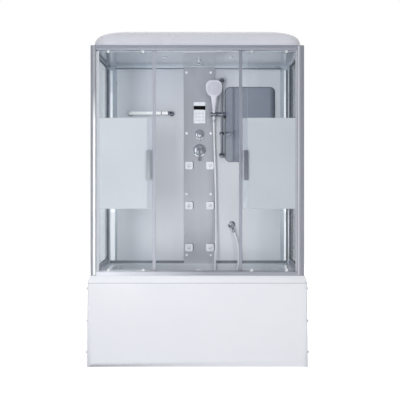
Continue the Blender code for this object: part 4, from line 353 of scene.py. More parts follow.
def round_edges(work, edges, size, steps):
    """Rounds edges of a mesh in some steps."""
    bmesh.ops.bevel(
        work, geom=edges, offset=size, segments=steps, profile=0.5, affect="EDGES",
        clamp_overlap=True,
    )


def add_tube(work, line, radii, sides, side=(1.0, 0.0, 0.0)):
    """A round tube along a line, with a radius for each of its points."""
    side = Vector(side)
    rows = []
    for i, point in enumerate(line):
        along = (line[min(i + 1, len(line) - 1)] - line[max(i - 1, 0)]).normalized()
        side = (side - along * side.dot(along)).normalized()
        across = along.cross(side)
        turn = [2 * math.pi * k / sides for k in range(sides)]
        rows.append([point + (side * math.cos(a) + across * math.sin(a)) * radii[i] for a in turn])
    add_loft(work, rows)


def smooth_route(points, spacing):
    """A smooth curve through the points, read at equal steps along it."""
    points = [Vector(point) for point in points]
    ends = [points[0] * 2 - points[1], *points, points[-1] * 2 - points[-2]]
    fine = [points[0]]
    for a, b, c, d in zip(ends, ends[1:], ends[2:], ends[3:]):
        for step in range(1, CURVE_STEPS + 1):
            t = step / CURVE_STEPS
            square = (2 * a - 5 * b + 4 * c - d) * t**2
            cube = (3 * b - a - 3 * c + d) * t**3
            fine.append((2 * b + (c - a) * t + square + cube) / 2)
    lengths = [0.0]
    for a, b in zip(fine, fine[1:]):
        lengths.append(lengths[-1] + (b - a).length)
    count = max(2, round(lengths[-1] / spacing))
    even = []
    i = 1
    for step in range(count + 1):
        want = lengths[-1] * step / count
        while i < len(fine) - 1 and lengths[i] < want:
            i += 1
        share = (want - lengths[i - 1]) / (lengths[i] - lengths[i - 1])
        even.append(fine[i - 1].lerp(fine[i], min(max(share, 0.0), 1.0)))
    return even


def add_sleeve(name, line):
    """The wound metal sleeve along a line, and its length."""
    work = bmesh.new()
    phases = [2 * math.pi * i / HOSE_RIB_STEPS for i in range(len(line))]
    radii = [HOSE_RADIUS - HOSE_RIB_DEPTH / 2 * (1 - math.cos(phase)) for phase in phases]
    add_tube(work, line, radii, HOSE_SIDES)
    piece = add_piece(name, work, hose_metal, None, sharp=60.0)
    return piece, sum((b - a).length for a, b in zip(line, line[1:]))


def add_turned(work, profile, place, axis, sides=40):
    """A round shape: its profile of radius and height, turned about an axis."""
    turn = Vector((0.0, 0.0, 1.0)).rotation_difference(Vector(axis)).to_matrix()
    rows = []
    for radius, height in profile:
        row = []
        for k in range(sides if radius else 1):
            angle = 2 * math.pi * k / sides
            point = Vector((radius * math.cos(angle), radius * math.sin(angle), height))
            row.append(work.verts.new(Vector(place) + turn @ point))
        rows.append(row)
    for row, following in zip(rows, rows[1:]):
        for k in range(sides):
            j = (k + 1) % sides
            if len(row) == 1:
                work.faces.new((row[0], following[j], following[k]))
            elif len(following) == 1:
                work.faces.new((row[k], row[j], following[0]))
            else:
                work.faces.new((row[k], row[j], following[j], following[k]))
    for row, flip in ((rows[0], True), (rows[-1], False)):
        if len(row) > 1:
            work.faces.new(list(reversed(row)) if flip else row)


hose_metal = finish("hose_metal", ((238, 240, 244), (246, 248, 251)), (0.28, 0.38), 0.25, 40.0)
chrome = finish("chrome", ((214, 217, 222), (226, 228, 232)), (0.05, 0.10), 1.0, 12.0)
# Painted shade: a darker copy of chrome, for fittings that show dark reflections.
chrome_painted_dark = finish("chrome_painted_dark", ((132, 136, 146), (146, 150, 160)), (0.08, 0.14), 1.0, 14.0)

grip_way = Vector((0.0, math.sin(HOSE_TOP_TILT), -math.cos(HOSE_TOP_TILT)))
outlet_way = Vector((math.sin(HOSE_BOTTOM_TILT), 0.0, -math.cos(HOSE_BOTTOM_TILT)))
top, seam, bottom = Vector(HOSE_TOP), Vector(HOSE_SEAM), Vector(HOSE_BOTTOM)
lead = Vector((0.0, 0.0, HOSE_LEAD))
half_gap = Vector((0.0, 0.0, HOSE_SEAM_GAP / 2))
hose_step = HOSE_RIB_PITCH / HOSE_RIB_STEPS
upper_points = [top, top + grip_way * HOSE_LEAD, *HOSE_UPPER_POINTS, seam + lead, seam + half_gap]
upper_line = smooth_route(upper_points, hose_step)
lower_points = [bottom, bottom + outlet_way * HOSE_LEAD, *reversed(HOSE_LOWER_POINTS)]
lower_line = smooth_route([*lower_points, seam - lead, seam - half_gap], hose_step)
nut_profile = (
    (HOSE_NUT_MOUTH, 0.0),
    (HOSE_NUT_MOUTH + HOSE_NUT_EDGE, HOSE_NUT_EDGE),
    (HOSE_NUT_RADIUS, HOSE_NUT_LENGTH * 0.75),
    (HOSE_NUT_RADIUS, HOSE_NUT_LENGTH - HOSE_NUT_EDGE),
    (HOSE_NUT_RADIUS - HOSE_NUT_EDGE, HOSE_NUT_LENGTH),
)
for name, place, way, body in (
    ("hose_nut_upper", top, grip_way, "handset"),
    ("hose_nut_lower", bottom, outlet_way, "cabin"),
):
    work = bmesh.new()
    add_turned(work, nut_profile, place + way * HOSE_NUT_LENGTH, -way, HOSE_NUT_SIDES)
    add_piece(name, work, chrome, body)

hose_upper, upper_length = add_sleeve("shower_hose_upper", upper_line)
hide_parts("hose_upper")
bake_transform(hose_upper)
hose_lower, lower_length = add_sleeve("shower_hose_lower", lower_line)
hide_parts("hose_lower")
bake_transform(hose_lower)


# Support frame
# A welded frame of square steel tube, hot-dip galvanised, on eight levelling feet. The tub
# is bolted onto it, and the apron hides it at the front.
EDGE_ROUND = 0.0007
MERGE = 0.00001
FLAT_ANGLE = math.radians(0.2)
EDGE_ANGLE = math.radians(40)
SHEET_AREA = 0.02


def smooth_copy(
    node, name, material, slot, body="cabin", edge=0.0, sharp=35.0, others=(), flat_from=0.0
):
    """A merged, smooth-shaded copy of a solid of the frame that takes its place.

    Each of the others is a material and a test of a face's middle that says where it goes.
    Faces with at least the area flat_from are shaded flat, as sheets are.
    """
    work = bmesh.new()
    work.from_mesh(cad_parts[node].data)
    bmesh.ops.remove_doubles(work, verts=work.verts, dist=MERGE)
    bmesh.ops.dissolve_limit(work, angle_limit=FLAT_ANGLE, verts=work.verts, edges=work.edges)
    if edge:
        corners = [e for e in work.edges if len(e.link_faces) == 2]
        corners = [e for e in corners if e.calc_face_angle() > EDGE_ANGLE]
        round_edges(work, [e for e in corners if e.calc_length() > 4 * edge], edge, 2)
    for number, (_, test) in enumerate(others, 1):
        for face in work.faces:
            if test(face.calc_center_median()):
                face.material_index = number
    piece = add_piece(name, work, material, body, (node,), sharp)
    for other, _ in others:
        piece.data.materials.append(other)
    if flat_from:
        for polygon in piece.data.polygons:
            if polygon.area >= flat_from:
                polygon.use_smooth = False
    return piece


galvanised = finish(
    "galvanised_steel", ((150, 155, 160), (182, 186, 190)), (0.35, 0.55), 0.9, 22.0,
    bump=0.15, bump_scale=90.0,
)
smooth_copy("support_frame", "tub_frame", galvanised, "galvanised_steel", edge=EDGE_ROUND)


# Waste
# The trap and the overflow pipe are white moulded PVC, pushed together and held by the
# chromed covers that screw into them through the tub.
COVER_EDGE = 0.0004

pipe_plastic = finish(
    "waste_plastic", ((214, 216, 218), (226, 228, 229)), (0.30, 0.42), 0.0, 14.0, bump=0.05
)
smooth_copy("waste_trap", "waste_pipes", pipe_plastic, "white_plastic")
cover_satin = finish(
    "satin_cover", ((238, 240, 244), (246, 247, 250)), (0.24, 0.34), 0.3, 30.0, coat=0.3
)
for node in ("drain_cover", "overflow_cover"):
    smooth_copy(node, f"{node}_dome", cover_satin, "chrome", edge=COVER_EDGE)


# Tub and apron
# Both are vacuum-formed from one sheet of white acrylic on glass fibre, so every edge is
# rolled. The apron hooks under the tub's rim and is held by six capped side screws.
BASIN_HALF_LENGTH = 0.700
BASIN_FRONT_Y, BASIN_BACK_Y = -0.360, 0.392
BASIN_TOP_Z = 0.6115
SEAM_Z = 0.5650
SEAM_HALF_HEIGHT = 0.0024
SEAM_HALF_LENGTH = 0.7380
SEAM_FRONT_Y = -0.4258
SEAM_DEPTH = 0.0028
ACRYLIC_RELIEF = {"bump": 0.04, "bump_scale": 26.0}

# Painted shadow: a dark grey strip in the joint under the tub's rim darkens the gap between the rim
# and the apron.
shadow_gap_grey = finish(
    "painted_shadow_gap", ((146, 149, 156), (158, 161, 167)), (0.5, 0.6), 0.0, 60.0, bump=0.05
)
# Painted shade: the tub's acrylic turns darker towards the right, away from the key light.
acrylic = finish(
    "white_acrylic", ((237, 240, 246), (241, 243, 248)), (0.16, 0.24), 0.0, 1.6,
    coat=0.5, fades=(("X", -0.20, 0.74, (229, 231, 237)),), **ACRYLIC_RELIEF,
)
# Painted shade: the apron is painted darker than the tub, though both are the same acrylic, to tone
# down the light it gets from the front.
apron_acrylic_painted_shade = finish(
    "apron_acrylic_painted_shade", ((221, 224, 230), (225, 227, 233)), (0.16, 0.24), 0.0, 1.6,
    coat=0.5, **ACRYLIC_RELIEF,
)
# Painted shade: inside the rim the acrylic is painted darker, and darker still towards the left.
basin_painted_shade = finish(
    "basin_acrylic_painted_shade", ((202, 207, 214), (207, 211, 218)), (0.18, 0.26), 0.0, 1.6,
    coat=0.3, fades=(("X", 0.0, -0.50, (184, 189, 197)),), **ACRYLIC_RELIEF,
)


def in_basin(middle):
    """Whether a face's middle lies inside the tub's rim."""
    inside = abs(middle.x) < BASIN_HALF_LENGTH and middle.z < BASIN_TOP_Z
    return inside and BASIN_FRONT_Y < middle.y < BASIN_BACK_Y


smooth_copy(
    "tray", "tub", acrylic, "white_acrylic", sharp=38.0, others=((basin_painted_shade, in_basin),)
)
smooth_copy("front_apron", "apron", apron_acrylic_painted_shade, "white_acrylic", sharp=38.0)
# The painted shadow strip, laid along the joint under the rim.
shadow_gap_section = (
    (SEAM_DEPTH, -SEAM_HALF_HEIGHT),
    (SEAM_DEPTH, SEAM_HALF_HEIGHT),
    (0.0, SEAM_HALF_HEIGHT * 0.5),
    (0.0, -SEAM_HALF_HEIGHT * 0.5),
)
work = bmesh.new()
add_loft(
    work,
    [
        [Vector((x, SEAM_FRONT_Y + depth, SEAM_Z + rise)) for depth, rise in shadow_gap_section]
        for x in (-SEAM_HALF_LENGTH, SEAM_HALF_LENGTH)
    ],
)
add_piece("rim_painted_shadow_gap", work, shadow_gap_grey)


# Front frame
# Extruded aluminium, satin anodised. The rails run between the posts, and the top rail hides the
# track that the doors' wheels roll on. Down each post runs a rib whose outer flank slants, with a
# highlight painted on it: white up to body height on the left post, dimmer on the right one.
SIDES = {"left": -1, "right": 1}  # and the sign of x on them
TRACK_WALL = 0.0012
RIB_X = {"left": (0.6885, 0.7050), "right": (0.6806, 0.7010)}
RIB_HEIGHT = 0.0036
RIB_SINK = 0.0004
RIB_LIP = 0.0008
RIB_END = 0.004
METAL_RELIEF = {"bump": 0.03, "bump_scale": 500.0}

# Painted highlight: on the left post the rib is white up to body height and grey above; on the
# right post it is greyer, and darker towards its outer flank.
rib_painted_highlight = side_finishes(
    "rib_painted_highlight",
    ((246, 248, 252), (250, 251, 253), ("Z", 1.66, 1.86, (166, 168, 176))),
    ((196, 199, 208), (204, 206, 214), ("X", 0.684, 0.694, (145, 147, 157))),
    (0.30, 0.40), 0.0, 8.0,
)
# Painted highlight: the bottom rail is near white on the left and fades to grey towards the middle.
rail_painted_highlight = finish(
    "rail_painted_highlight", ((226, 229, 238), (231, 234, 242)), (0.28, 0.36), 0.0, 3.0,
    fades=(("X", -0.60, 0.06, (156, 159, 169)),), **METAL_RELIEF,
)
# Painted shade: the anodised finish turns darker towards the right.
anodised_shaded_right = finish(
    "anodised_aluminium_shaded_right", ((160, 165, 178), (168, 173, 185)), (0.28, 0.36), 0.30, 3.0,
    fades=(("X", -0.30, 0.70, (151, 154, 166)),), **METAL_RELIEF,
)
# Painted shade: the right post's aluminium is painted darker than the left's.
post_lit_and_shaded = side_finishes(
    "post_aluminium_lit_and_shaded", ((146, 149, 158), (154, 157, 165)), ((134, 136, 147), (142, 144, 154)),
    (0.34, 0.42), 0.15, 3.0, **METAL_RELIEF,
)
# Painted light: the pale lining lifts the shade on the faces inside the top rails.
track_lining_painted_light = finish(
    "track_lining_painted_light", ((214, 218, 227), (224, 227, 234)), (0.40, 0.52), 0.0, 18.0, bump=0.04
)
track_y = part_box("front_top_rail")[0].y + TRACK_WALL
for node, cover, others in (
    ("front_bottom_rail", rail_painted_highlight, ()),
    ("front_post_left", post_lit_and_shaded["left"], ()),
    ("front_post_right", post_lit_and_shaded["right"], ()),
    ("front_top_rail", anodised_shaded_right, ((track_lining_painted_light, lambda middle: middle.y > track_y),)),
):
    smooth_copy(node, f"{node}_profile", cover, "aluminium", edge=EDGE_ROUND, others=others)

for side, sign in SIDES.items():
    low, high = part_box(f"front_post_{side}")
    foot = low.y + RIB_SINK
    rib_inner, rib_outer = RIB_X[side]
    section = (
        (rib_inner, foot),
        (rib_inner, low.y - RIB_HEIGHT * 0.8),
        (rib_inner + RIB_LIP, low.y - RIB_HEIGHT),
        (rib_outer, low.y - RIB_HEIGHT * 0.12),
        (rib_outer, foot),
    )
    rows = [
        [Vector((sign * x, y, z)) for x, y in section][::-sign]
        for z in (low.z + RIB_END, high.z - RIB_END)
    ]
    work = bmesh.new()
    add_loft(work, rows)
    add_piece(f"front_post_rib_{side}", work, rib_painted_highlight[side], sharp=8.0)


# Glass of the front
# Toughened 6 mm panes with a frosted band at body height. The fixed panes stand in the
# posts with a grey lip seal, and the doors' panes slide behind them.
LIP_X = (0.6640, 0.6862)
LIP_FRONT_Y, LIP_BACK_Y = -0.3962, -0.3926
LIP_EDGE = 0.0008
BAND_BOTTOM_Z, BAND_TOP_Z = 1.063, 1.682
BAND_EDGE = 0.004
GLASS_TINT = (0.990, 0.997, 1.0, 1.0)
GLASS_SHINE = 0.3
GLASS_MIRROR = 0.04  # what a face of glass reflects straight back
# Painted shade: the right pane's film is painted darker than the left's.
FILMS_SHADED_RIGHT = {"left": (198, 204, 211), "right": (184, 191, 199)}
FILM_DRIFT = 6
GLASS_SMEAR = (9.0, 0.015, 0.05)  # scale, lowest and highest roughness
FILM_GRAIN = (60.0, 0.40, 0.55)
FILM_COVER_SCALE, FILM_TONE_SCALE = 2.5, 1.8
GROUND_EDGE_X = 0.3402


def glass(name, tint, film=None, cover=(0.90, 0.94), shine_share=GLASS_SHINE):
    """A thin pane, tinted where it is clear. A film makes a band of it matt."""
    made, tree, shader = new_material(name)
    surface = tree.nodes["Material Output"].inputs["Surface"]
    facing = add_node(tree, "ShaderNodeLayerWeight", {"Blend": 0.5}).outputs["Facing"]
    smear = noise(tree, *GLASS_SMEAR)
    through = add_node(tree, "ShaderNodeBsdfTransparent", {"Color": tint}).outputs[0]
    shine = {"Color": ROOM_WHITE, "Roughness": smear}
    shine = add_node(tree, "ShaderNodeBsdfAnisotropic", shine).outputs[0]
    steep = add_sum(tree, "POWER", facing, 5.0)
    share = add_sum(tree, "MULTIPLY_ADD", steep, shine_share, shine_share * GLASS_MIRROR)
    clear = mix_shaders(tree, share, through, shine)
    if not film:
        tree.nodes.remove(shader)
        tree.links.new(clear, surface)
        return made
    height = coordinate(tree, "Z")
    above = ramp(tree, height, BAND_BOTTOM_Z, BAND_BOTTOM_Z + BAND_EDGE)
    below = ramp(tree, height, BAND_TOP_Z, BAND_TOP_Z - BAND_EDGE)
    frost = add_sum(tree, "MULTIPLY", above, below)
    frost = add_sum(tree, "MULTIPLY", frost, noise(tree, FILM_COVER_SCALE, *cover))
    lighter = screen(*(value + FILM_DRIFT for value in film))
    tone = mix_colours(tree, noise(tree, FILM_TONE_SCALE, 0.0, 1.0), screen(*film), lighter)
    tree.links.new(tone, shader.inputs["Base Color"])
    tree.links.new(noise(tree, *FILM_GRAIN), shader.inputs["Roughness"])
    tree.links.new(mix_shaders(tree, frost, clear, shader.outputs[0]), surface)
    return made


def dress(node, material):
    """Gives a solid of the frame, whose shape stays, its finish."""
    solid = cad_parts[node]
    for holder in solid.material_slots:
        holder.material = material
    if not solid.material_slots:
        solid.data.materials.append(material)


ground_edge = finish(
    "ground_glass_edge", ((222, 229, 234), (230, 236, 240)), (0.4, 0.5), 0.0, 80.0, bump=0.05
)
for side, film in FILMS_SHADED_RIGHT.items():
    pane = smooth_copy(
        f"fixed_glass_{side}", f"fixed_pane_{side}",
        glass(f"frosted_glass_{side}", GLASS_TINT, film), "clear_glass",
        others=((ground_edge, lambda middle: abs(middle.x) < GROUND_EDGE_X),),
        flat_from=SHEET_AREA,
    )
    pane.visible_shadow = False

lip_low, lip_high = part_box("front_bottom_rail")[1].z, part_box("front_top_rail")[0].z
# Painted shade: the right lip seal is painted darker than the left.
lip_greys_shaded_right = side_finishes(
    "lip_seal_shaded_right", ((192, 197, 204), (198, 202, 209)), ((170, 173, 181), (176, 179, 187)),
    (0.40, 0.50), 0.0, 40.0, bump=0.06,
)
for side, sign in SIDES.items():
    work = bmesh.new()
    left_x, right_x = sorted(sign * x for x in LIP_X)
    lip = (left_x, LIP_FRONT_Y, lip_low), (right_x, LIP_BACK_Y, lip_high)
    add_block(work, *lip, LIP_EDGE)
    add_piece(f"front_lip_seal_{side}", work, lip_greys_shaded_right[side])


# Sides
# One pane of lightly tinted glass on each side, in a bottom and a top rail of the same anodised
# aluminium as the front. The right pane is tinted much darker than the left as painted shade. The
# camera sees the lining of the top rails: pale on the right as painted light, grey on the left as
# painted shade.
# Painted shade: the right pane is tinted much darker than the left.
SIDE_TINTS_SHADED_RIGHT = {"left": (0.762, 0.785, 0.810, 1.0), "right": (0.455, 0.472, 0.500, 1.0)}
SIDE_SHINE = 0.35

# Painted shade: the left top rail's lining is grey, darker than the right's.
left_lining_painted_shade = finish(
    "left_lining_painted_shade", ((148, 156, 166), (156, 164, 173)), (0.40, 0.52), 0.0, 18.0, bump=0.04
)
for side, top_cover in (("left", left_lining_painted_shade), ("right", track_lining_painted_light)):
    tint = SIDE_TINTS_SHADED_RIGHT[side]
    dress(f"side_glass_{side}", glass(f"side_glass_{side}", tint, shine_share=SIDE_SHINE))
    for rail, cover in (("bottom", anodised_shaded_right), ("top", top_cover)):
        node = f"side_{rail}_rail_{side}"
        smooth_copy(node, f"{node}_profile", cover, "aluminium", edge=EDGE_ROUND)


# Rear frame and wall
# The rear posts are pale satin aluminium with white bars painted on them as highlights, and with
# grey and dark seals where they hold the side glass. The wall is two glossy sheets clipped into the
# rear frame with grey gaskets, partly painted shade, and the column covers the joint between them.
FACE_SINK = 0.0002  # how far what lies on a face reaches into it
REAR_ARM_X = 0.6860
POST_TOP, POST_MIDDLE = 2.1, 1.05
# White bars painted on the rear posts as highlights, laid out differently on each post.
POST_HIGHLIGHT_BARS = (  # side, from x, to x, and how high it reaches
    ("left", 0.6640, 0.6818, POST_TOP),
    ("left", 0.6456, 0.6640, POST_MIDDLE),
    ("right", 0.6589, 0.6743, POST_TOP),
    ("right", 0.6888, 0.6930, POST_TOP),
    ("left", 0.7072, 0.7176, POST_TOP),
)
POST_BAR_RISE = 0.0012
POST_SEALS = (  # side, from x, to x, rise and tone
    ("left", 0.6862, 0.6968, 0.0013, "grey"),
    ("left", 0.6968, 0.7062, 0.0010, "dark"),
    ("right", 0.6745, 0.6858, 0.0010, "dark"),
    ("right", 0.6862, 0.6886, 0.0010, "dark"),
    ("right", 0.6933, 0.7178, 0.0010, "grey"),
)
STRIP_EDGE = 0.0003
# Painted shade: the wall sheets turn darker towards the top.
WALL_TOP_PAINTED_SHADE = ("Z", 1.70, 2.10, (192, 196, 204))
# The gaskets are partly painted shade: the lower one lies over the face of the bottom rail and
# darkens it, and the upper one darkens the line under the top rail.
WALL_GASKETS = (  # from z, to z, and its reach past the outer edge of its sheet
    (0.6088, 0.6336, 0.0420),
    (2.1085, 2.1190, -0.0010),
)
GASKET_INNER_REACH = -0.0010
GASKET_RISE = 0.0012
GASKET_EDGE = 0.0004

post_satin = finish(
    "satin_aluminium", ((196, 205, 215), (208, 216, 224)), (0.26, 0.36), 0.25, 3.0, bump=0.03
)
# Painted highlight: the bars are white.
post_bar_highlight = finish(
    "post_bar_painted_highlight", ((249, 251, 253), (252, 253, 255)), (0.40, 0.50), 0.0, 5.0, bump=0.02
)
# Grey gaskets, also used as painted shade at the wall's foot and head.
grey_gasket_and_shade = finish(
    "grey_gasket_and_painted_shade", ((120, 126, 136), (132, 138, 147)), (0.45, 0.60), 0.0, 50.0, bump=0.08
)
# Dark gaskets, also used as painted shadow behind the jet plates.
dark_gasket_and_shadow = finish(
    "dark_gasket_and_painted_shadow", ((84, 90, 100), (96, 102, 111)), (0.45, 0.60), 0.0, 50.0, bump=0.08
)
for node, slot in (
    ("rear_post_left", "chrome"),
    ("rear_post_right", "chrome"),
    ("rear_bottom_rail", "aluminium"),
    ("rear_top_rail", "aluminium"),
):
    smooth_copy(node, f"{node}_profile", post_satin, slot, edge=EDGE_ROUND)
# The wall sheets are painted darker towards the top as painted shade, and lighter towards their
# outer edges as painted light.
wall_gloss_painted_light = side_finishes(
    "wall_sheet_painted_light",
    ((207, 210, 217), (213, 216, 223), WALL_TOP_PAINTED_SHADE, ("X", -0.52, -0.66, (242, 245, 249))),
    ((212, 215, 221), (218, 221, 227), WALL_TOP_PAINTED_SHADE, ("X", 0.25, 0.62, (230, 233, 238))),
    (0.14, 0.22), 0.0, 1.2, bump=0.03, bump_scale=20.0, coat=0.3,
)
for side, gloss in wall_gloss_painted_light.items():
    dress(f"back_panel_{side}", gloss)

rear_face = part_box("rear_top_rail")[0].y
rear_low, rear_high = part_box("rear_bottom_rail")[1].z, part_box("rear_top_rail")[0].z
work = bmesh.new()
for side in SIDES:
    low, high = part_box(f"back_panel_{side}")
    for from_z, to_z, reach in WALL_GASKETS:
        left_x = low.x - (reach if side == "left" else GASKET_INNER_REACH)
        right_x = high.x + (reach if side == "right" else GASKET_INNER_REACH)
        corner = (left_x, rear_face - GASKET_RISE, from_z)
        add_block(work, corner, (right_x, rear_face + FACE_SINK, to_z), GASKET_EDGE)
add_piece("wall_gaskets_and_painted_shade", work, grey_gasket_and_shade)


def add_strip(work, side, inner, outer, rise, top):
    """A flat strip up a rear post, on its arm or on its flat face."""
    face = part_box(f"rear_post_{side}")[0].y if inner > REAR_ARM_X else rear_face
    left_x, right_x = sorted((SIDES[side] * inner, SIDES[side] * outer))
    corner = (left_x, face - rise, rear_low)
    add_block(work, corner, (right_x, face + FACE_SINK, top), STRIP_EDGE)


seals = {"grey": bmesh.new(), "dark": bmesh.new()}
for side, inner, outer, rise, tone in POST_SEALS:
    add_strip(seals[tone], side, inner, outer, rise, rear_high)
add_piece("rear_post_seals", seals["grey"], grey_gasket_and_shade)
add_piece("rear_post_dark_seal", seals["dark"], dark_gasket_and_shadow)
work = bmesh.new()
for side, inner, outer, top in POST_HIGHLIGHT_BARS:
    add_strip(work, side, inner, outer, POST_BAR_RISE, min(top, rear_high))
bar_lit.objects.link(add_piece("rear_post_painted_highlights", work, post_bar_highlight))


# Column
# A cover of 3 mm brushed sheet with folded sides. Six square jet plates are clipped into
# it, and eight small domed caps hide the screws that hold it to the wall.
COLUMN_SHEET = 0.003
COLUMN_EDGE = 0.0009
COLUMN_GAP = 0.0086  # between the knobs' backs and the sheet
COLUMN_BACK_Y = 0.3845
FLANGE = 0.0025
FLANGE_EDGE = 0.0004
FLANGE_FOOT, FLANGE_HEAD = 0.022, 0.026
JETS = range(1, 7)
PLATE_INPUTS = ("Plate width", "Corner", "Thickness", "Edge", "Hole radius")
JET_PLATE = (0.060, 0.012, 0.0045, 0.0012, 0.0124)
# A dark plate behind each jet plate, shifted right and up, is painted shadow of the plate.
JET_SHADOW_PLATE = (0.061, 0.012, 0.0012, 0.0003, 0.0140)
JET_PLATE_SINK = 0.0003
JET_SHADOW_SHIFT = (0.0046, 0.0022)  # painted shadow: the dark plates stand right of and above the jet plates
PLATE_STEPS = 7
PLATE_NARROWING = 0.965
CAP_SIZES = {"Radius": 0.010, "Collar": 0.0012}
CAP_SIDES = 20
COLLAR_NARROWING = 0.94
DOME_RADIUS_SHARE = 0.88
DOME_LIFT, DOME_FLATNESS = 0.0006, 0.36
CAP_XS = (-0.0933, 0.0939)
CAP_HEIGHTS = (0.675, 1.146, 1.615, 2.084)
SMALLEST_CORNER = 0.0002
FRONT = Matrix.Rotation(math.pi / 2, 4, "X")
TO_VIEWER = (0.0, -1.0, 0.0)
UP = (0.0, 0.0, 1.0)


def measured(node):
    """The corners of a node's box, its middle and half its size."""
    low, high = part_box(node)
    return low, high, (low + high) / 2, (high - low) / 2


def outline(half_u, half_v, corner, steps=8):
    """The points of a rounded rectangle, anticlockwise, as pairs."""
    points = []
    for quarter, (u, v) in enumerate(((1, 1), (-1, 1), (-1, -1), (1, -1))):
        for step in range(steps + 1):
            angle = math.pi / 2 * (quarter + step / steps)
            along = u * (half_u - corner) + corner * math.cos(angle)
            points.append((along, v * (half_v - corner) + corner * math.sin(angle)))
    return points


def add_slab(work, half_u, half_v, corner, levels, turn, steps=8):
    """A rounded slab: levels are pairs of height and inset, turn places it."""
    rows = []
    for height, inset in levels:
        rounding = max(corner - inset, SMALLEST_CORNER)
        shape = outline(half_u - inset, half_v - inset, rounding, steps)
        rows.append([turn @ Vector((u, v, height)) for u, v in shape])
    add_loft(work, rows)


def at_front(x, y, z):
    """Places a shape so that its up faces the viewer at a point."""
    return Matrix.Translation((x, y, z)) @ FRONT


def repeat_shape(name, places, turn, shape, sizes, material, body="cabin"):
    """One small shape at every place, repeated by Geometry Nodes and made one mesh."""
    tree = bpy.data.node_groups.new(name, "GeometryNodeTree")
    face = tree.interface
    face.new_socket("Places", in_out="INPUT", socket_type="NodeSocketGeometry")
    face.new_socket("Pieces", in_out="OUTPUT", socket_type="NodeSocketGeometry")
    keys = {}
    for label in sizes:
        made = face.new_socket(label, in_out="INPUT", socket_type="NodeSocketFloat")
        keys[label] = made.identifier
    given = add_node(tree, "NodeGroupInput").outputs
    repeated = {"Points": given["Places"], "Instance": shape(tree, given)}
    repeated = add_node(tree, "GeometryNodeInstanceOnPoints", repeated).outputs[0]
    real = add_node(tree, "GeometryNodeRealizeInstances", {"Geometry": repeated}).outputs[0]
    dressed = {"Geometry": real, "Material": material}
    dressed = add_node(tree, "GeometryNodeSetMaterial", dressed).outputs[0]
    add_node(tree, "NodeGroupOutput", {0: dressed})
    points = bpy.data.meshes.new(f"{name}_places")
    points.from_pydata([(u, v, 0.0) for u, v in places], [], [])
    grown = bpy.data.objects.new(f"{name}_places", points)
    scene.collection.objects.link(grown)
    modifier = grown.modifiers.new(name, "NODES")
    modifier.node_group = tree
    for label, size in sizes.items():
        modifier[keys[label]] = size
    seen = grown.evaluated_get(bpy.context.evaluated_depsgraph_get())
    mesh = bpy.data.meshes.new_from_object(seen)
    grown.modifiers.remove(modifier)
    bpy.data.objects.remove(grown)
    work = bmesh.new()
    work.from_mesh(mesh)
    work.transform(turn)
    return add_piece(name, work, material, body)


def joined(tree, *sockets):
    """Several shapes as one."""
    join = add_node(tree, "GeometryNodeJoinGeometry")
    for socket in sockets:
        tree.links.new(socket, join.inputs[0])
    return join.outputs[0]


def rounded_sheet(tree, width, height, corner, count):
    """The outline of a rectangle with rounded corners."""
    sheet = {"Width": width, "Height": height}
    sheet = add_node(tree, "GeometryNodeCurvePrimitiveQuadrilateral", sheet).outputs[0]
    rounded = {"Curve": sheet, "Radius": corner, "Count": count}
    return add_node(tree, "GeometryNodeFilletCurve", rounded, mode="POLY").outputs[0]


def raised(tree, outlines, depth, edge, narrowing):
    """A flat plate grown from outlines, with its upper edge drawn in."""
    flat = add_node(tree, "GeometryNodeFillCurve", {0: outlines}, mode="TRIANGLES").outputs[0]
    wall = {"Mesh": flat, "Offset": UP, "Offset Scale": depth, "Individual": False}
    wall = add_node(tree, "GeometryNodeExtrudeMesh", wall).outputs
    lip = {"Mesh": wall["Mesh"], "Selection": wall["Top"], "Offset": UP}
    lip |= {"Offset Scale": edge, "Individual": False}
    lip = add_node(tree, "GeometryNodeExtrudeMesh", lip).outputs
    drawn = {"Geometry": lip["Mesh"], "Selection": lip["Top"], "Scale": narrowing}
    drawn = add_node(tree, "GeometryNodeScaleElements", drawn).outputs[0]
    back = add_node(tree, "GeometryNodeFlipFaces", {"Mesh": flat}).outputs[0]
    closed = {0: joined(tree, drawn, back), "Distance": MERGE}
    return add_node(tree, "GeometryNodeMergeByDistance", closed).outputs[0]


def jet_plate_shape(tree, given):
    """A square plate with rounded corners and a round hole for the nozzle's ball."""
    width, corner = given["Plate width"], given["Corner"]
    rounded = rounded_sheet(tree, width, width, corner, PLATE_STEPS)
    hole = {"Resolution": 32, "Radius": given["Hole radius"]}
    hole = add_node(tree, "GeometryNodeCurvePrimitiveCircle", hole).outputs["Curve"]
    outlines = joined(tree, rounded, hole)
    return raised(tree, outlines, given["Thickness"], given["Edge"], PLATE_NARROWING)


def add_cone(tree, sides, radius, narrowing, height):
    """A cone with a flat tip."""
    cone = {"Vertices": sides, "Radius Top": add_sum(tree, "MULTIPLY", radius, narrowing)}
    cone |= {"Radius Bottom": radius, "Depth": height}
    return add_node(tree, "GeometryNodeMeshCone", cone).outputs["Mesh"]


def cap_shape(tree, given):
    """A low dome on a thin collar."""
    collar = add_cone(tree, CAP_SIDES, given["Radius"], COLLAR_NARROWING, given["Collar"])
    radius = add_sum(tree, "MULTIPLY", given["Radius"], DOME_RADIUS_SHARE)
    ball = {"Segments": CAP_SIDES, "Rings": CAP_SIDES // 2, "Radius": radius}
    ball = add_node(tree, "GeometryNodeMeshUVSphere", ball).outputs[0]
    dome = {"Geometry": ball, "Translation": (0.0, 0.0, DOME_LIFT)}
    dome |= {"Scale": (1.0, 1.0, DOME_FLATNESS)}
    return joined(tree, collar, add_node(tree, "GeometryNodeTransform", dome).outputs[0])


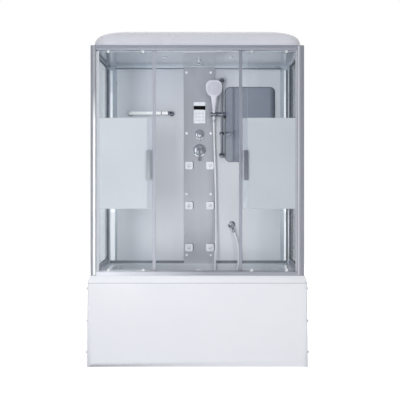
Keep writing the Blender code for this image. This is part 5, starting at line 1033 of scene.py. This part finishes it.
# Painted light: the column's sheet turns lighter towards its foot, against the shade there.
column_metal_lit_low = finish(
    "brushed_column_painted_light", ((179, 182, 190), (186, 189, 196)), (0.34, 0.42), 0.35, 14.0,
    stretch=(1.0, 1.0, 0.04), bump=0.08, bump_scale=420.0,
    fades=(("Z", 1.15, 0.62, (204, 207, 214)),),
)
white_gloss = finish(
    "white_plastic", ((241, 242, 247), (246, 247, 250)), (0.20, 0.30), 0.0, 10.0, bump=0.03
)
plate_white = finish(
    "jet_plates", ((228, 230, 237), (234, 236, 241)), (0.20, 0.30), 0.0, 10.0, bump=0.03
)
low, high, middle, _ = measured("column_panel")
column_x = middle.x
column_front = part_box("mixer_knob")[1].y + COLUMN_GAP
sheet_back = column_front + COLUMN_SHEET
work = bmesh.new()
add_block(work, (low.x, column_front, low.z), (high.x, sheet_back, high.z), COLUMN_EDGE)
for x in (low.x + FACE_SINK, high.x - FLANGE - FACE_SINK):
    corner = (x, sheet_back - FACE_SINK, low.z + FLANGE_FOOT)
    add_block(work, corner, (x + FLANGE, COLUMN_BACK_Y, high.z - FLANGE_HEAD), FLANGE_EDGE)
add_piece("column_cover", work, column_metal_lit_low, replaces=("column_panel",))

jet_middles = [measured(f"jet_nozzle_{number}")[2] for number in JETS]
jet_places = [(middle.x, middle.z) for middle in jet_middles]
sheet_turn = at_front(0.0, column_front - FACE_SINK, 0.0)
repeat_shape(
    "jet_plates", jet_places, at_front(0.0, column_front - JET_PLATE_SINK, 0.0),
    jet_plate_shape, dict(zip(PLATE_INPUTS, JET_PLATE)), plate_white,
)
# Painted shadow: dark plates behind the jet plates, shifted right and up.
repeat_shape(
    "jet_painted_shadows", jet_places, sheet_turn @ Matrix.Translation((*JET_SHADOW_SHIFT, 0.0)),
    jet_plate_shape, dict(zip(PLATE_INPUTS, JET_SHADOW_PLATE)), dark_gasket_and_shadow,
)
cap_places = [(x, z) for x in CAP_XS for z in CAP_HEIGHTS]
repeat_shape(
    "screw_caps", cap_places, sheet_turn, cap_shape, CAP_SIZES, white_gloss
)
for number in JETS:
    ball = f"jet_{number}_ball"
    smooth_copy(f"jet_nozzle_{number}", ball, white_gloss, "white_plastic", f"jet_{number}")


# Valve and knobs
# A brass mixer body behind the column with chromed roses in front. Its domed knob turns and
# the lever under it lifts; the smaller knob above sends the water to one outlet or another.
KNOB_SIDES = 64
KNOB_STEPS = 14
KNOB_SKIRT = 0.30  # share of its height that is straight
KNOB_BACK = ((-0.0012, 0.0), (-0.0004, 0.0008), (0.0, 0.0024))  # from the skirt's radius
KNOB_DRAW, KNOB_RISE = 0.92, 0.96  # powers that square the dome's shoulder a little
ROSE_DEPTH = 0.0004
LEVER_HALF_WIDTH = 0.0062
LEVER_CORNER = 0.0045
LEVER_DROP = 0.014
LEVER_TIP = 0.0010
LEVER_HALF_DEPTHS = (0.006, 0.005, 0.004)  # at its root, at the start of its tip and at its end
LEVER_ROUNDNESS = 0.95
LEVER_STEPS = 5
MIXER_LEVER_EDGE = 0.0012
VALVE_EDGE = 0.0005

# Painted shade: the knobs' chrome is painted darker than the other chrome, to hold down the bright
# reflections below them.
knob_chrome_painted_dark = finish("knob_chrome_painted_dark", ((184, 188, 196), (194, 198, 205)), (0.16, 0.22), 0.75, 12.0)
brass = finish("cast_brass", ((176, 148, 92), (196, 168, 110)), (0.34, 0.50), 1.0, 30.0, bump=0.1)
smooth_copy(
    "valve_block", "mixer_body", brass, "brass", edge=VALVE_EDGE,
    others=((chrome, lambda middle: middle.y < column_front + ROSE_DEPTH),),
)


def knob_profile(radius, height):
    """Half the outline of a domed knob, from its back to the middle of its face."""
    skirt = height * KNOB_SKIRT
    points = [(radius + out, up) for out, up in KNOB_BACK] + [(radius, skirt)]
    for step in range(1, KNOB_STEPS):
        angle = math.pi / 2 * step / KNOB_STEPS
        rise = (height - skirt) * math.sin(angle) ** KNOB_RISE
        points.append((radius * math.cos(angle) ** KNOB_DRAW, skirt + rise))
    return [*points, (0.0, height)]


low, high, middle, half = measured("mixer_knob")
work = bmesh.new()
place = (middle.x, high.y, middle.z)
add_turned(work, knob_profile(half.x, 2 * half.y), place, TO_VIEWER, KNOB_SIDES)
mixer_dome = add_piece(
    "mixer_dome", work, knob_chrome_painted_dark, "mixer_knob", ("mixer_knob",), sharp=60.0
)
# Painted shade: the lever's chrome is painted dark grey and made less metallic, to hide the floor's
# bright reflection.
lever_chrome_painted_dark = finish("lever_chrome_painted_dark", ((112, 117, 128), (124, 129, 140)), (0.26, 0.36), 0.3, 16.0)
smooth_copy(
    "mixer_lever", "mixer_handle", lever_chrome_painted_dark, "chrome", "mixer_lever", edge=MIXER_LEVER_EDGE
)

low, high, middle, half = measured("diverter_knob")
work = bmesh.new()
place = (middle.x, high.y, high.z - half.x)
add_turned(work, knob_profile(half.x, 2 * half.y), place, TO_VIEWER, KNOB_SIDES)
lever_heights = (high.z - 2 * half.x + LEVER_DROP, low.z + LEVER_TIP, low.z)
rows = []
for z, half_depth in zip(lever_heights, LEVER_HALF_DEPTHS):
    corner = min(LEVER_CORNER, half_depth * LEVER_ROUNDNESS)
    shape = outline(LEVER_HALF_WIDTH, half_depth, corner, LEVER_STEPS)
    rows.append([Vector((middle.x + u, middle.y + v, z)) for u, v in shape])
add_loft(work, rows)
diverter_dome = add_piece(
    "diverter_dome", work, knob_chrome_painted_dark, "diverter_knob", ("diverter_knob",), sharp=60.0
)
for dome in (mixer_dome, diverter_dome):
    knob_lit.objects.link(dome)


# Controller
# A white plastic panel with a black display window and a membrane of nine flat keys with
# printed marks. It is screwed to the column from behind.
PANEL_CORNER = 0.006
PANEL_EDGE = 0.002
DISPLAY_MARGIN = 0.0012
DISPLAY_HALF_HEIGHT = 0.0150
DISPLAY_Z = 1.8105
DISPLAY_RISE = 0.0004
DISPLAY_EDGE = 0.0003
KEY_COLUMNS = (-0.0255, 0.0, 0.0255)
KEY_ROWS = (1.7660, 1.7400, 1.7140)
TOP_MARK_Z = 1.8430
MARK_LIFT = 0.0003
KEY_NARROWING = 0.97
KEY_STEPS = 4
KEY_INPUTS = ("Key width", "Key height", "Corner", "Rise", "Edge")
KEY_SIZES = (0.0200, 0.0150, 0.0030, 0.0002, 0.0001)
MARK_SIZES = (0.0060, 0.0022, 0.0008, 0.00006, 0.00004)

display_black = finish(
    "display_window", ((6, 7, 8), (10, 11, 13)), (0.30, 0.40), 0.0, 30.0, specular=0.12
)
key_white = finish("key_film", ((208, 211, 220), (216, 218, 226)), (0.30, 0.42), 0.0, 40.0)
mark_grey = finish("key_marks", ((150, 153, 162), (160, 163, 171)), (0.35, 0.5), 0.0, 60.0)
panel_white = finish("control_white", ((222, 224, 231), (228, 230, 236)), (0.22, 0.32), 0.0, 12.0)
low, high, middle, half = measured("controller")
control_x, control_face = middle.x, low.y + DISPLAY_RISE
panel_depth = high.y - control_face
levels = (
    (0.0, 0.0),
    (panel_depth - PANEL_EDGE, 0.0),
    (panel_depth - PANEL_EDGE * 0.45, PANEL_EDGE * 0.15),
    (panel_depth - PANEL_EDGE * 0.12, PANEL_EDGE * 0.5),
    (panel_depth, PANEL_EDGE),
)
work = bmesh.new()
turn = at_front(control_x, high.y, middle.z)
add_slab(work, half.x, half.z, PANEL_CORNER, levels, turn)
add_piece("control_panel", work, panel_white, replaces=("controller",))
work = bmesh.new()
levels = ((0.0, 0.0), (DISPLAY_RISE * 0.5, 0.0), (DISPLAY_RISE, DISPLAY_EDGE))
turn = at_front(control_x, control_face, DISPLAY_Z)
display_half = half.x - DISPLAY_MARGIN
add_slab(work, display_half, DISPLAY_HALF_HEIGHT, DISPLAY_MARGIN, levels, turn)
add_piece("control_display", work, display_black)


def key_shape(tree, given):
    """A flat key with rounded corners."""
    width, height, corner = given["Key width"], given["Key height"], given["Corner"]
    rounded = rounded_sheet(tree, width, height, corner, KEY_STEPS)
    return raised(tree, rounded, given["Rise"], given["Edge"], KEY_NARROWING)


key_places = [(control_x + u, z) for u in KEY_COLUMNS for z in KEY_ROWS]
repeat_shape(
    "control_keys", key_places, at_front(0.0, control_face, 0.0), key_shape,
    dict(zip(KEY_INPUTS, KEY_SIZES)), key_white,
)
mark_places = [*key_places, (control_x, TOP_MARK_Z)]
repeat_shape(
    "control_marks", mark_places, at_front(0.0, control_face - MARK_LIFT, 0.0), key_shape,
    dict(zip(KEY_INPUTS, MARK_SIZES)), mark_grey,
)


# Mirror
# Silvered 5 mm glass with rounded corners and a ground, polished edge, glued to the wall.
MIRROR_CORNER = 0.040
MIRROR_EDGE = 0.0012
MIRROR_BEVEL = 0.0042
MIRROR_STEPS = 12

# Painted reflection: the silvering is lighter below 1.56 m; it is dark at its right edge as painted
# shade.
silver_painted_reflection = finish(
    "silvered_glass_painted_reflection", ((206, 213, 225), (212, 218, 229)), (0.015, 0.03), 0.80, 3.0,
    fades=(("Z", 1.60, 1.56, (226, 232, 240)), ("X", 0.545, 0.585, (116, 124, 134))),
)
edge_glass = finish("mirror_edge", ((66, 76, 84), (80, 90, 97)), (0.10, 0.2), 0.0, 40.0, coat=0.5)
low, high, middle, half = measured("mirror")
depth = 2 * half.y
levels = ((0.0, 0.0), (depth - MIRROR_EDGE, 0.0), (depth, MIRROR_BEVEL))
turn = at_front(middle.x, high.y, middle.z)
work = bmesh.new()
add_slab(work, half.x, half.z, MIRROR_CORNER, levels, turn, MIRROR_STEPS)
for face in work.faces:
    if len(face.verts) == 4:
        face.material_index = 1
mirror_plate = add_piece("mirror_plate", work, silver_painted_reflection, replaces=("mirror",), sharp=8.0)
mirror_plate.data.materials.append(edge_glass)


# Towel rail
# A white lacquered tube that bends back to the wall at both ends, with chromed flanges over
# its screws and a chromed ring at the joint near its right end.
TOWEL_RADIUS = 0.0138
TOWEL_BEND = 0.028
TOWEL_BEND_STEPS = 8
TOWEL_SIDES = 24
TOWEL_END = 0.020
TOWEL_FRONT = 0.014
TOWEL_WHITE = (-0.536, -0.2320)  # where the lacquer ends and the chromed bends begin
TOWEL_FLANGE_RADIUS = 0.0198
TOWEL_FLANGE = 0.005
TOWEL_COLLAR = 0.008  # how far a flange reaches along the tube
TOWEL_RING_X = -0.2822
TOWEL_RING_SIDES = 32
FIT = 0.0001  # between the tube and what is pushed over it


def rounded_route(points, bend, steps):
    """Straight runs between the points, joined by round bends."""
    points = [Vector(point) for point in points]
    line = [points[0]]
    for before, corner, after in zip(points, points[1:], points[2:]):
        start = (before - corner).normalized() * bend
        end = (after - corner).normalized() * bend
        for step in range(steps + 1):
            angle = step / steps * math.pi / 2
            line.append(corner + start * (1 - math.sin(angle)) + end * (1 - math.cos(angle)))
    return [*line, points[-1]]


lacquer = finish(
    "white_lacquer", ((253, 254, 255), (254, 255, 255)), (0.24, 0.32), 0.0, 12.0, coat=0.2
)
low, high, middle, _ = measured("towel_rail")
ends = (low.x + TOWEL_END, high.x - TOWEL_END)
rail_y, rail_z, wall_y = low.y + TOWEL_FRONT, middle.z, high.y - TOWEL_FLANGE
corners = zip((ends[0], *ends, ends[1]), (wall_y, rail_y, rail_y, wall_y))
line = rounded_route([(x, y, rail_z) for x, y in corners], TOWEL_BEND, TOWEL_BEND_STEPS)
work = bmesh.new()
add_tube(work, line, [TOWEL_RADIUS] * len(line), TOWEL_SIDES, UP)
for face in work.faces:
    if not TOWEL_WHITE[0] < face.calc_center_median().x < TOWEL_WHITE[1]:
        face.material_index = 1
towel_tube = add_piece("towel_tube", work, lacquer, replaces=("towel_rail",))
towel_tube.data.materials.append(chrome_painted_dark)
flange_profile = (
    (TOWEL_FLANGE_RADIUS, 0.0),
    (TOWEL_FLANGE_RADIUS, 0.002),
    (TOWEL_FLANGE_RADIUS - 0.0016, 0.0044),
    (TOWEL_RADIUS + 0.0012, TOWEL_COLLAR),
    (TOWEL_RADIUS + FIT, TOWEL_COLLAR),
)
work = bmesh.new()
for x in ends:
    add_turned(work, flange_profile, (x, high.y, rail_z), TO_VIEWER)
ring_profile = (
    (TOWEL_RADIUS + FIT, -0.0026),
    (TOWEL_RADIUS + 0.0010, -0.0020),
    (TOWEL_RADIUS + 0.0010, 0.0020),
    (TOWEL_RADIUS + FIT, 0.0026),
)
add_turned(work, ring_profile, (TOWEL_RING_X, rail_y, rail_z), (1.0, 0.0, 0.0), TOWEL_RING_SIDES)
add_piece("towel_flanges", work, chrome_painted_dark)


# Riser rail and holder
# A chromed tube between two wall brackets. The slider is clamped on it by a black knob and
# carries the cradle, which tilts on a spigot and holds the hand shower's grip.
SLIDER_KNOB_TOP_Z = 1.7393
TUBE_FROM_Z, TUBE_TO_Z = 1.4560, 2.0000
FITTING = {"edge": 0.0006, "sharp": 40.0}
TUBE_EDGE = 0.0008

rubber = finish("black_grip", ((26, 27, 31), (38, 39, 44)), (0.42, 0.58), 0.0, 60.0, bump=0.1)
smooth_copy(
    "riser_rail", "riser_tube", chrome, "chrome", edge=TUBE_EDGE, sharp=40.0,
    others=((chrome_painted_dark, lambda middle: not TUBE_FROM_Z < middle.z < TUBE_TO_Z),),
)
smooth_copy(
    "holder_slider", "holder_clamp", chrome_painted_dark, "chrome", "slider",
    others=((rubber, lambda middle: middle.z < SLIDER_KNOB_TOP_Z),), **FITTING,
)
smooth_copy("holder_cradle", "holder_fork", chrome_painted_dark, "chrome", "handset", **FITTING)


# Hand shower
# A hollow moulding of light grey plastic whose neck flows into a rounded square head. A
# separate face plate carries rings of soft nozzles, which rub clean with a finger.
HAND_PLACE = (0.1175, 0.320, 1.757)
HAND_END, HAND_TOP = -0.0378, 0.2645
HAND_ROWS, HAND_SIDES = 72, 48
HAND_CROWDING = 1.35  # how much closer the rows stand towards the top
HAND_TIP = 0.0002
HAND_GRIP_RADIUS = 0.0114
HAND_GRIP_TOP = 0.022
HAND_NECK_TOP = 0.140
HAND_NECK_HALF_WIDTH = 0.0225
HAND_THIN_FROM, HAND_THIN_TO = 0.02, 0.13
HAND_ROLL = 0.010
HAND_ROLL_RADIUS = 0.0102
HAND_ROLL_LEAST = 0.03
HAND_POWER, HEAD_POWER = 2.0, 4.2  # 2 is an ellipse, and more is squarer
HEAD_SQUARE_FROM = 0.160
HEAD_MIDDLE = 0.199
HEAD_HALF_WIDTH = 0.062
HEAD_HALF_HEIGHT = 0.0655
HEAD_LOW_HALF_HEIGHT = 0.0635
HEAD_CORNER = 0.046
HEAD_HALF_DEPTH = 0.0105
HEAD_SHOULDER = 0.012
FACE_RISE = 0.0006
FACE_THICKNESS = 0.0040
FACE_LEVELS = ((0.0, 0.0), (0.0034, 0.0), (FACE_THICKNESS, 0.0010))
FACE_SIZES = (0.050, 0.052, 0.040)  # half its width, half its height and its corners
FACE_STEPS = 10
FACE_MIDDLE = 0.203
NOZZLE_INPUTS = ("Nozzle radius", "Nozzle height")
NOZZLE_SIZES = (0.0017, 0.0013)
NOZZLE_SIDES = 10
NOZZLE_NARROWING = 0.62
NOZZLE_RINGS = ((0.009, 6), (0.0175, 12), (0.026, 18), (0.0345, 24), (0.043, 30))


def ease(value, low, high):
    """A smooth step from 0 to 1 between low and high."""
    t = min(max((value - low) / (high - low), 0.0), 1.0)
    return t * t * (3 - 2 * t)


def hand_row(z):
    """Half width, half depth and squareness of the hand shower at a height."""
    widening = ease(z, HAND_GRIP_TOP, HAND_NECK_TOP)
    neck = HAND_GRIP_RADIUS + (HAND_NECK_HALF_WIDTH - HAND_GRIP_RADIUS) * widening
    off = abs(z - HEAD_MIDDLE)
    straight = HEAD_HALF_HEIGHT - HEAD_CORNER
    head = 0.0
    if z < HEAD_MIDDLE:
        head = HEAD_HALF_WIDTH * math.sqrt(max(1.0 - (off / HEAD_LOW_HALF_HEIGHT) ** 2, 0.0))
    elif off < straight:
        head = HEAD_HALF_WIDTH
    elif off < HEAD_HALF_HEIGHT:
        drop = HEAD_CORNER**2 - (off - straight) ** 2
        head = HEAD_HALF_WIDTH - HEAD_CORNER + math.sqrt(max(drop, 0.0))
    if z > HEAD_MIDDLE:
        width = head
    else:
        gap = max(HEAD_SHOULDER - abs(head - neck), 0.0) / HEAD_SHOULDER
        width = max(head, neck) + HEAD_SHOULDER * gap * gap / 4
    thinning = ease(z, HAND_THIN_FROM, HAND_THIN_TO)
    depth = HAND_GRIP_RADIUS + (HEAD_HALF_DEPTH - HAND_GRIP_RADIUS) * thinning
    roll = max(z - HAND_TOP + HAND_ROLL, 0.0) / HAND_ROLL_RADIUS
    depth *= math.sqrt(max(1.0 - roll**2, HAND_ROLL_LEAST))
    squaring = ease(z, HAND_GRIP_TOP, HEAD_SQUARE_FROM)
    return width, depth, HAND_POWER + (HEAD_POWER - HAND_POWER) * squaring


hand_grey = finish(
    "hand_shower_shell", ((205, 206, 217), (212, 213, 222)), (0.20, 0.28), 0.0, 9.0, coat=0.3
)
face_grey = finish("nozzle_plate", ((190, 191, 203), (197, 198, 209)), (0.30, 0.40), 0.0, 20.0)
silicone = finish("soft_nozzles", ((150, 152, 162), (164, 166, 175)), (0.50, 0.62), 0.0, 50.0)
hand_turn = Matrix.Translation(HAND_PLACE) @ Matrix.Rotation(HOSE_TOP_TILT, 4, "X")

rows = []
for number in range(HAND_ROWS + 1):
    share = 1 - (1 - number / HAND_ROWS) ** HAND_CROWDING
    z = HAND_END + (HAND_TOP - HAND_END) * share
    width, depth, power = hand_row(min(z, HAND_TOP - HAND_TIP))
    row = []
    for k in range(HAND_SIDES):
        angle = 2 * math.pi * k / HAND_SIDES
        c, s = math.cos(angle), math.sin(angle)
        u = math.copysign(abs(c) ** (2 / power), c) * width
        v = math.copysign(abs(s) ** (2 / power), s) * depth
        row.append(hand_turn @ Vector((u, v, z)))
    rows.append(row)
work = bmesh.new()
add_loft(work, rows)
add_piece(
    "hand_shower_shell", work, hand_grey, "handset", ("hand_shower",), sharp=70.0
)
face_front = -HEAD_HALF_DEPTH - FACE_RISE
face_turn = hand_turn @ at_front(0.0, face_front + FACE_THICKNESS, FACE_MIDDLE)
work = bmesh.new()
add_slab(work, *FACE_SIZES, FACE_LEVELS, face_turn, FACE_STEPS)
add_piece("hand_shower_face", work, face_grey, "handset")


def nozzle_shape(tree, given):
    """A soft cone with a flat tip."""
    radius, height = given["Nozzle radius"], given["Nozzle height"]
    return add_cone(tree, NOZZLE_SIDES, radius, NOZZLE_NARROWING, height)


def nozzle_rings(rings):
    """Places on rings about the middle."""
    places = [(0.0, 0.0)]
    for radius, count in rings:
        turns = [2 * math.pi * (k + 0.5) / count for k in range(count)]
        places += [(radius * math.cos(angle), radius * math.sin(angle)) for angle in turns]
    return places


repeat_shape(
    "hand_shower_nozzles", nozzle_rings(NOZZLE_RINGS),
    hand_turn @ at_front(0.0, face_front + FACE_SINK, FACE_MIDDLE), nozzle_shape,
    dict(zip(NOZZLE_INPUTS, NOZZLE_SIZES)), silicone, "handset",
)


# Soap dish and wall elbow
# The dish is a shallow chromed cup whose ring grips the riser rail. The elbow is a chromed
# flange with a ball joint that feeds the hose.
DISH_EDGE = 0.0004

smooth_copy("soap_dish", "soap_cup", chrome_painted_dark, "chrome", "soap_dish", edge=DISH_EDGE, sharp=40.0)
elbow_outlet = smooth_copy("wall_elbow", "elbow_outlet", chrome, "chrome", **FITTING)
knob_lit.objects.link(elbow_outlet)


# Ceiling
# A flat acrylic panel that rests on the frame, with two small spotlights and, in a chromed
# ball socket over the bather, a tilting rain shower.
CEILING_SHEET_AREA = 0.01
SOCKET_HALF_WIDTH = 0.018
SOCKET_TOP = 0.0085
SPOT_XS = (-0.235, 0.235)
SPOT_Y = -0.11
SPOT_DROP = 0.0052
SPOT_RADIUS = 0.0155
SPOT_DEPTH = 0.0055
SPOT_SIDES = 36
# Radius and height of the rings and lenses, as shares of the radius and depth of a spot.
SPOT_RING = ((0.72, 0.0), (1.0, 0.0), (1.04, 0.5), (0.96, 1.0), (0.78, 0.94), (0.72, 0.6))
SPOT_LENS = ((0.71, 0.0), (0.71, 0.62), (0.52, 0.82), (0.26, 0.92), (0.0, 0.95))
RAIN_RINGS = ((0.006, 6), (0.0125, 12), (0.019, 18))
RAIN_NOZZLE_SIZES = (0.0012, 0.0012)
RAIN_NOZZLE_SINK = 0.0004
RAIN_EDGE = 0.0005

# Painted shade: the ceiling turns darker towards the left.
ceiling_painted_shade = finish(
    "ceiling_sheet_painted_shade", ((212, 218, 228), (218, 224, 233)), (0.14, 0.22), 0.0, 2.0,
    bump=0.03, coat=0.3, fades=(("X", -0.15, -0.66, (184, 193, 203)),),
)
ceiling_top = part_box("ceiling_panel")[1].z


def in_socket(middle):
    """Whether a face's middle lies in the rain shower's socket."""
    reach = max(abs(middle.x - column_x), abs(middle.y))
    return reach < SOCKET_HALF_WIDTH and middle.z < ceiling_top - SOCKET_TOP


smooth_copy(
    "ceiling_panel", "ceiling_sheet_painted_shade", ceiling_painted_shade, "white_acrylic",
    others=((chrome, in_socket),), flat_from=CEILING_SHEET_AREA,
)
lens = finish("spot_lens", ((226, 230, 236), (236, 239, 243)), (0.25, 0.4), 0.0, 80.0, coat=0.6)
for name, profile, cover in (
    ("spot_rings", SPOT_RING, ceiling_painted_shade),
    ("spot_lenses", SPOT_LENS, lens),
):
    profile = [(SPOT_RADIUS * radius, SPOT_DEPTH * height) for radius, height in profile]
    work = bmesh.new()
    for x in SPOT_XS:
        place = (x, SPOT_Y, ceiling_top - SPOT_DROP)
        add_turned(work, profile, place, (0.0, 0.0, -1.0), SPOT_SIDES)
    add_piece(name, work, cover)

low, _, middle, _ = measured("rain_shower")
smooth_copy(
    "rain_shower", "rain_head", chrome, "chrome", "rain_shower", edge=RAIN_EDGE, sharp=40.0
)
rain_turn = Matrix.Translation((middle.x, 0.0, low.z + RAIN_NOZZLE_SINK))
rain_turn @= Matrix.Rotation(math.pi, 4, "X")
repeat_shape(
    "rain_nozzles", nozzle_rings(RAIN_RINGS), rain_turn, nozzle_shape,
    dict(zip(NOZZLE_INPUTS, RAIN_NOZZLE_SIZES)), silicone, "rain_shower",
)


# Roof
# One vacuum-formed acrylic dome, 4 mm thick, that stands on the top frame and hides the
# wiring and the hoses above the ceiling.
ROOF_CORNER = 0.090
ROOF_CORNER_GROWTH = 0.3
ROOF_SPREAD = 0.250
ROOF_POWER = 2.65
ROOF_FOOT = 0.004
ROOF_SKIN = 0.004
ROOF_TURNS = 26
ROOF_INNER_TURNS = 23
ROOF_CORNER_STEPS = 12
ROOF_LAST_ANGLE = math.radians(85)

# Painted shade: the roof is painted darker than the tub and apron of the same acrylic.
roof_painted_shade = finish(
    "roof_acrylic_painted_shade", ((207, 208, 218), (212, 213, 222)), (0.20, 0.28), 0.0, 1.4,
    bump=0.04, bump_scale=22.0, coat=0.4,
)
low, high, roof_middle, roof_half = measured("roof_dome")


def roof_ring(share, height, skin):
    """A rounded rectangle of the dome at a height, a skin's thickness inside it."""
    run_in = ROOF_SPREAD * (1 - share)
    half_u = roof_half.x - run_in - skin
    half_v = roof_half.y - run_in - skin
    corner = ROOF_CORNER + run_in * ROOF_CORNER_GROWTH - skin
    shape = outline(half_u, half_v, corner, ROOF_CORNER_STEPS)
    return [Vector((roof_middle.x + u, roof_middle.y + v, height)) for u, v in shape]


outer = [roof_ring(1.0, low.z, 0.0)]
inner = [roof_ring(1.0, low.z, ROOF_SKIN)]
foot, tall = low.z + ROOF_FOOT, high.z - low.z - ROOF_FOOT
for number in range(ROOF_TURNS + 1):
    angle = ROOF_LAST_ANGLE * number / ROOF_TURNS
    share, rise = (value ** (2 / ROOF_POWER) for value in (math.cos(angle), math.sin(angle)))
    outer.append(roof_ring(share, foot + tall * rise, 0.0))
    if number < ROOF_INNER_TURNS:
        inner.append(roof_ring(share, foot + (tall - ROOF_SKIN) * rise, ROOF_SKIN))
work = bmesh.new()
add_loft(work, [*reversed(inner), *outer])
add_piece("roof_shell", work, roof_painted_shade, replaces=("roof_dome",), sharp=50.0)


# Sliding doors
# A frosted pane hangs from two moulded carriers on nylon wheels and is guided by two pegs at
# its foot. A satin edge profile closes it, and a bar handle is bolted through the glass.
PANE_FRONT_Y, PANE_BACK_Y = -0.3676, -0.3624
PANE_FOOT_Z, PANE_HEAD_Z = 0.6438, 2.1602
DOOR_FILM = (204, 210, 219)
DOOR_FILM_COVER = (0.46, 0.50)
DOOR_EDGE = 0.0012
WHEEL_EDGE = 0.0004

# Painted shade: the right door's profile and handle are painted darker than the left's.
door_metal_shaded_right = side_finishes(
    "door_profile", ((177, 180, 192), (183, 186, 197)), ((146, 150, 163), (153, 157, 169)),
    (0.28, 0.36), 0.15, 4.0, bump=0.03,
)
handle_metal_shaded_right = side_finishes(
    "brushed_handle_shaded_right", ((156, 162, 170), (170, 175, 182)), ((106, 110, 122), (118, 122, 133)),
    (0.30, 0.40), 0.25, 140.0, stretch=(1.0, 1.0, 0.05), bump=0.05,
)
nylon = finish("white_nylon", ((246, 248, 251), (250, 251, 253)), (0.36, 0.48), 0.0, 40.0)
door_frost = glass("door_frost", GLASS_TINT, DOOR_FILM, DOOR_FILM_COVER)


def off_glass(middle):
    """Whether a face's middle lies on a carrier or a peg instead of on the pane."""
    on_pane = PANE_FRONT_Y < middle.y < PANE_BACK_Y and PANE_FOOT_Z < middle.z < PANE_HEAD_Z
    return not on_pane


for side in SIDES:
    body = f"door_{side}"
    smooth_copy(
        f"door_glass_{side}", f"door_pane_{side}", door_frost, "clear_glass", body,
        sharp=30.0, others=((nylon, off_glass),), flat_from=SHEET_AREA,
    )
    for piece, name, cover in (("profile", "edge", door_metal_shaded_right), ("handle", "bar", handle_metal_shaded_right)):
        node, name = f"door_{piece}_{side}", f"door_{name}_{side}"
        smooth_copy(node, name, cover[side], "aluminium", body, edge=DOOR_EDGE)
    for place in ("inner", "outer"):
        node, name = f"door_wheel_{side}_{place}", f"door_roller_{side}_{place}"
        body = f"wheel_{side}_{place}"
        smooth_copy(node, name, nylon, "white_plastic", body, edge=WHEEL_EDGE)
